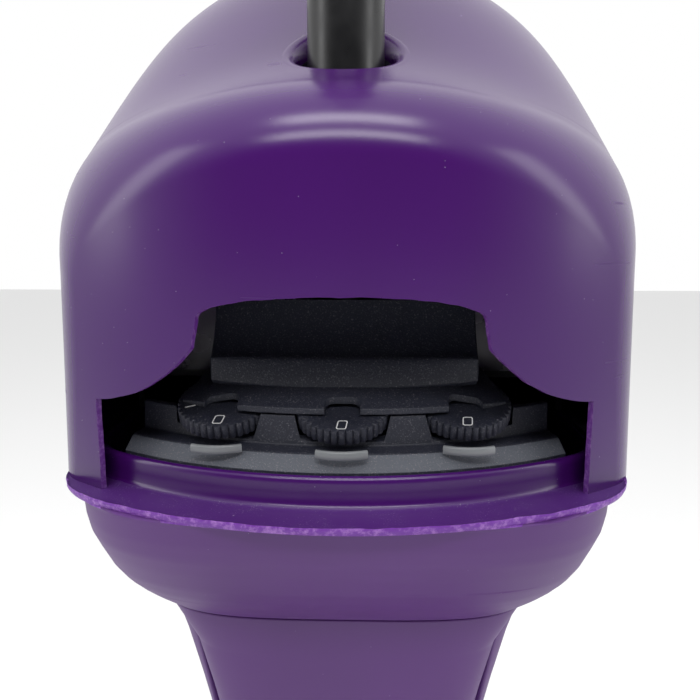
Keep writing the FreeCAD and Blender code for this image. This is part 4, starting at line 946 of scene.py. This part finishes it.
def make_plate():
    """The raised plate over the dials, its notches, and the block that stands on it."""
    corners = [(24.2, 31.4, 0.6), (24.0, 34.0, 1.0), (38, plate_height(38), 0), (52, plate_height(52), 0),
               (52, plate_height(52) - 3, 0), (38, plate_height(38) - 2.6, 0)]
    plate = swept("control_plate", rounded_profile(corners, 7), 75.5 * MM, BLACK)
    cutters = []
    for name in DIALS:
        top = dial_top(name)
        front = front_of(top.x) + 24.0 * MM
        cutters.append(notch_tool(top.x, front))
    for side in (-1, 1):
        cutters.append(corner_tool(side))
    cut_away(plate, cutters)
    edges = plate.modifiers.new("edges", "BEVEL")
    edges.width = 0.7 * MM
    edges.segments = 3
    edges.limit_method = "ANGLE"
    edges.angle_limit = math.radians(55)
    apply_modifiers(plate)
    tidy_mesh(plate)
    soften(plate, 40)
    block = make_block()
    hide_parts("control_cover")
    return plate


def notch_tool(across, front):
    """A round-topped notch, open to the operator."""
    half, deep, corner = 6.9 * MM, 6.6 * MM, 3.6 * MM
    points = [(across - half, front - 6 * MM)]
    for centre, start in (((across - half + corner, front + deep - corner), math.pi),
                          ((across + half - corner, front + deep - corner), math.pi / 2)):
        for step in range(9):
            turn = start - step / 8 * math.pi / 2
            points.append((centre[0] + corner * math.cos(turn), centre[1] + corner * math.sin(turn)))
    points.append((across + half, front - 6 * MM))
    outline = [(x, FRONT_Y + y, FLANGE_Z + 0.025) for x, y in points]
    return prism("notch", outline, (0, 0, 0), (0, 0, 0.04))


def corner_tool(side):
    """Rounds one end of the plate in plan."""
    corner, reach = 11 * MM, 75.6 * MM
    front = front_of(reach) + 23.6 * MM
    centre = (reach - corner, front + corner)
    points = [(reach + 4 * MM, front - 8 * MM), (reach + 4 * MM, front + corner)]
    for step in range(13):
        turn = -step / 12 * math.pi / 2
        points.append((centre[0] + corner * math.cos(turn), centre[1] + corner * math.sin(turn)))
    points.append((centre[0], front - 8 * MM))
    outline = [(side * x, FRONT_Y + y, FLANGE_Z + 0.025) for x, y in points]
    return prism("plate_end", outline, (0, 0, 0), (0, 0, 0.04))


def make_block():
    """A wedge with a straight ridge and a bowed foot; its top slopes up to the back."""
    shares = np.linspace(-1, 1, 81)
    rows = []
    half = 54 * MM
    foot_y = 36.0 + 5.2 * shares ** 2
    ridge_y = 40.2 + 1.4 * shares ** 2
    foot_z = plate_height(foot_y) - 0.6
    ridge_z = 51.2 - 0.9 * shares ** 4
    steps = [(foot_y + 6, foot_z - 4), (foot_y, foot_z)]
    for lean, rise in ((0.12, 0.25), (0.3, 0.5), (0.5, 0.75), (0.68, 0.9), (0.86, 0.98), (1.1, 1.03)):
        steps.append((foot_y + (ridge_y - foot_y) * lean, foot_z + (ridge_z - foot_z) * rise))
    for back, rise in ((1.6, 1.1), (4, 3.2), (8, 7.6), (12, 14.5), (14.5, 22)):
        steps.append((ridge_y + back, ridge_z + rise))
    steps.append((ridge_y + 14.8, foot_z + 2))
    for depth, up in steps:
        rows.append(np.stack([shares * half / MM, depth, up + 0 * shares], axis=1))
    rows = np.array(rows) * MM
    count = len(shares)
    faces = grid_faces(len(rows), count, True, False)
    faces.append(tuple(row * count for row in range(len(rows))))
    faces.append(tuple(row * count + count - 1 for row in range(len(rows) - 1, -1, -1)))
    block = new_object("control_block", place(rows).reshape(-1, 3), faces, BLACK, "upper", smooth=False)
    edges = block.modifiers.new("edges", "BEVEL")
    edges.width = 1.0 * MM
    edges.segments = 3
    edges.limit_method = "ANGLE"
    edges.angle_limit = math.radians(60)
    apply_modifiers(block)
    soften(block, 50)
    return block


# ---- dials

def dial_frame(name):
    """Takes points from a dial's own axes (up is its spindle) into the frame."""
    turn = Matrix.Rotation(DIAL_TILT, 4, "X")
    return Matrix.Translation(dial_top(name)) @ turn


def make_dial(name):
    """A thumbwheel with rounded serrations, a dished top and a spindle."""
    teeth, per_tooth = 40, 10
    count = teeth * per_tooth
    turns = np.linspace(0, 2 * math.pi, count, endpoint=False)
    wave = np.abs(np.cos(turns * teeth / 2)) ** 0.7
    outer = DIAL_RADIUS - 1.15 * MM * (1 - wave)
    levels = ((0.93, 0, -DIAL_THICK), (0.985, 1, -DIAL_THICK + 0.3 * MM),
              (1.0, 1, -DIAL_THICK + 0.9 * MM), (1.0, 1, -0.9 * MM), (0.988, 1, -0.25 * MM),
              (0.955, 0.6, 0.0), (0.90, 0, -0.05 * MM), (0.62, 0, -0.05 * MM), (0.58, 0, -0.35 * MM),
              (0.2, 0, -0.35 * MM))
    rings = []
    for share, toothed, up in levels:
        radius = share * (outer * toothed + (DIAL_RADIUS - 0.6 * MM) * (1 - toothed))
        rings.append(np.stack([radius * np.cos(turns), radius * np.sin(turns), np.full(count, up)], axis=1))
    bottom = []
    spindle, spindle_long, hub = 3 * MM, 34 * MM, 12 * MM
    for radius, up in ((spindle, -DIAL_THICK - spindle_long), (spindle, -DIAL_THICK), (hub, -DIAL_THICK)):
        circle = (radius * np.cos(turns), radius * np.sin(turns), np.full(count, up))
        bottom.append(np.stack(circle, axis=1))
    rows = np.array(bottom + rings)
    vertices = rows.reshape(-1, 3)
    faces = grid_faces(len(rows), count, False, True)
    faces.append(tuple(range(count)))
    faces.append(tuple(range((len(rows) - 1) * count, len(rows) * count)))
    matrix = dial_frame(name)
    placed = [matrix @ Vector(vertex) for vertex in vertices]
    piece = new_object(name + "_wheel", placed, faces, BLACK, name, edge_angle=38)
    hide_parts(name)
    make_zero(name)
    for number in range(1, 5):
        make_number(name, number)
    return piece


def dial_spot(number):
    """Where a number sits: 0 faces the operator and the rest follow round the dial."""
    turn = -math.pi / 2 - number * math.radians(67.5)
    return Vector((math.cos(turn), math.sin(turn), 0)) * 14.2 * MM, turn + math.pi / 2


def make_zero(name):
    """An outlined round-cornered 0, slightly slanted, printed on the dial."""
    centre, spin = dial_spot(0)
    loops = []
    for grow, up in ((0.0, 0.02), (0.0, 0.09), (-0.42, 0.09), (-0.42, 0.02)):
        half_x, half_y, corner = (1.95 + grow) * MM, (2.75 + grow) * MM, (0.95 + grow * 0.7) * MM
        points = []
        for sx, sy, start in ((1, 1, 0), (-1, 1, 90), (-1, -1, 180), (1, -1, 270)):
            for step in range(7):
                turn = math.radians(start + step * 15)
                x = sx * (half_x - corner) + corner * math.cos(turn)
                y = sy * (half_y - corner) + corner * math.sin(turn)
                points.append((x + 0.12 * y, y, up * MM))
        loops.append(points)
    count = len(loops[0])
    matrix = dial_frame(name) @ Matrix.Translation(centre) @ Matrix.Rotation(spin, 4, "Z")
    vertices = [matrix @ Vector(point) for loop in loops for point in loop]
    piece = new_object(name + "_zero", vertices, grid_faces(4, count, True, True), MARK, name,
                       smooth=False)
    return piece


def make_number(name, number):
    """A small printed number for each further setting."""
    centre, spin = dial_spot(number)
    letters = bpy.data.curves.new("%s_number_%d" % (name, number), "FONT")
    letters.body = str(number)
    letters.size = 6.2 * MM
    letters.extrude = 0.04 * MM
    letters.align_x = "CENTER"
    letters.align_y = "CENTER"
    source = bpy.data.objects.new(letters.name + "_curve", letters)
    bpy.context.scene.collection.objects.link(source)
    bpy.context.view_layer.update()
    graph = bpy.context.evaluated_depsgraph_get()
    mesh = bpy.data.meshes.new_from_object(source.evaluated_get(graph))
    bpy.data.objects.remove(source, do_unlink=True)
    matrix = dial_frame(name) @ Matrix.Translation(centre) @ Matrix.Rotation(spin, 4, "Z")
    mesh.transform(matrix @ Matrix.Translation((0, 0, 0.03 * MM)))
    piece = bpy.data.objects.new(letters.name, mesh)
    bpy.context.scene.collection.objects.link(piece)
    mesh.materials.clear()
    mesh.materials.append(MARK)
    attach(piece, name)
    return piece


def make_tabs():
    """Grey sprung tongues, curved round the front of each dial, in one piece per dial."""
    pieces = []
    for name in DIALS:
        top = dial_top(name)
        rows = []
        section = ((1.0, -0.3), (1.0, 2.35), (1.25, 2.8), (1.8, 2.9), (2.3, 2.6), (2.55, 2.0), (2.6, 0.2),
                   (2.2, -0.4))
        base_z = high("dial_detents").z - 2.9 * MM
        limit = math.asin(9.6 * MM / (DIAL_RADIUS + 2 * MM))
        for turn in np.linspace(-limit, limit, 25):
            rows.append([(top.x + (DIAL_RADIUS + out * MM) * math.sin(turn),
                          top.y - (DIAL_RADIUS + out * MM) * math.cos(turn), base_z + up * MM)
                         for out, up in section])
        rows = np.array(rows)
        count = rows.shape[1]
        faces = grid_faces(len(rows), count, False, True)
        faces.append(tuple(range(count)))
        faces.append(tuple(range((len(rows) - 1) * count, len(rows) * count)))
        piece = new_object(name.replace("dial", "detent"), rows.reshape(-1, 3), faces, TAB, "upper",
                           edge_angle=60)
        pieces.append(piece)
    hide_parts("dial_detents")
    return pieces


# ---- studio

def make_studio():
    size = 6.0
    floor = bpy.data.meshes.new("studio_floor")
    floor.from_pydata([(-size, -size, 0), (size, -size, 0), (size, size, 0), (-size, size, 0)], [],
                      [(0, 1, 2, 3)])
    ground = bpy.data.objects.new("studio_floor", floor)
    bpy.context.scene.collection.objects.link(ground)
    floor.materials.append(shader("studio_floor", (0.9, 0.9, 0.9), 0.9))
    make_world()
    for name, spot, aim, width, deep, power in STUDIO_LIGHTS:
        lamp = bpy.data.lights.new(name, "AREA")
        lamp.shape = "RECTANGLE"
        lamp.size = width
        lamp.size_y = deep
        lamp.energy = power
        shown = bpy.data.objects.new(name, lamp)
        bpy.context.scene.collection.objects.link(shown)
        shown.location = spot
        shown.rotation_euler = (Vector(aim) - Vector(spot)).to_track_quat("-Z", "Y").to_euler()


def make_world():
    """White all round, dimmer behind the operator so that the front reads dark and glossy."""
    world = bpy.data.worlds.new("studio")
    world.use_nodes = True
    bpy.context.scene.world = world
    tree = world.node_tree
    background = tree.nodes["Background"]
    source = tree.nodes.new("ShaderNodeTexCoord")
    split = tree.nodes.new("ShaderNodeSeparateXYZ")
    tree.links.new(source.outputs["Generated"], split.inputs["Vector"])
    fade = tree.nodes.new("ShaderNodeMapRange")
    fade.interpolation_type = "SMOOTHSTEP"
    for name, number in (("From Min", -0.85), ("From Max", -0.25), ("To Min", 0.05), ("To Max", 1.0)):
        fade.inputs[name].default_value = number
    tree.links.new(split.outputs["Y"], fade.inputs["Value"])
    tree.links.new(fade.outputs["Result"], background.inputs["Strength"])
    background.inputs["Color"].default_value = (1, 1, 1, 1)


STUDIO_LIGHTS = (("overhead", (0.0, -0.45, 2.0), (0, -0.1, 0.6), 1.0, 0.35, 8),
                 ("front_high", (0.0, -1.35, 1.95), (0, -0.1, 0.55), 1.6, 0.4, 16),
                 ("side_left", (-1.6, -0.5, 1.2), (0, 0, 0.6), 0.5, 1.4, 6),
                 ("side_right", (1.6, -0.5, 1.2), (0, 0, 0.6), 0.5, 1.4, 6))


CAMERA_RIGHT, CAMERA_BACK, CAMERA_UP = 9.7 * MM, 234 * MM, 102.5 * MM
CAMERA_TILT, CAMERA_TURN = math.radians(90 - 10), math.radians(1.5)


def make_camera():
    """Close in front of the hood, a little to the right, looking down at the controls."""
    lens = bpy.data.cameras.new("camera")
    lens.lens = 36
    lens.sensor_width = 36
    lens.clip_start = 0.02
    shown = bpy.data.objects.new("camera", lens)
    bpy.context.scene.collection.objects.link(shown)
    shown.location = (CAMERA_RIGHT, FRONT_Y - CAMERA_BACK, FLANGE_Z + CAMERA_UP)
    shown.rotation_euler = (CAMERA_TILT, 0, CAMERA_TURN)
    bpy.context.scene.camera = shown


bpy.context.scene.view_settings.view_transform = "Standard"
dress_cad_nodes()
make_camera()
make_studio()
make_hood()
make_tube_lip()
make_lower_shell()
make_column()
make_deck()
make_plate()
for dial in DIALS:
    make_dial(dial)
make_tabs()
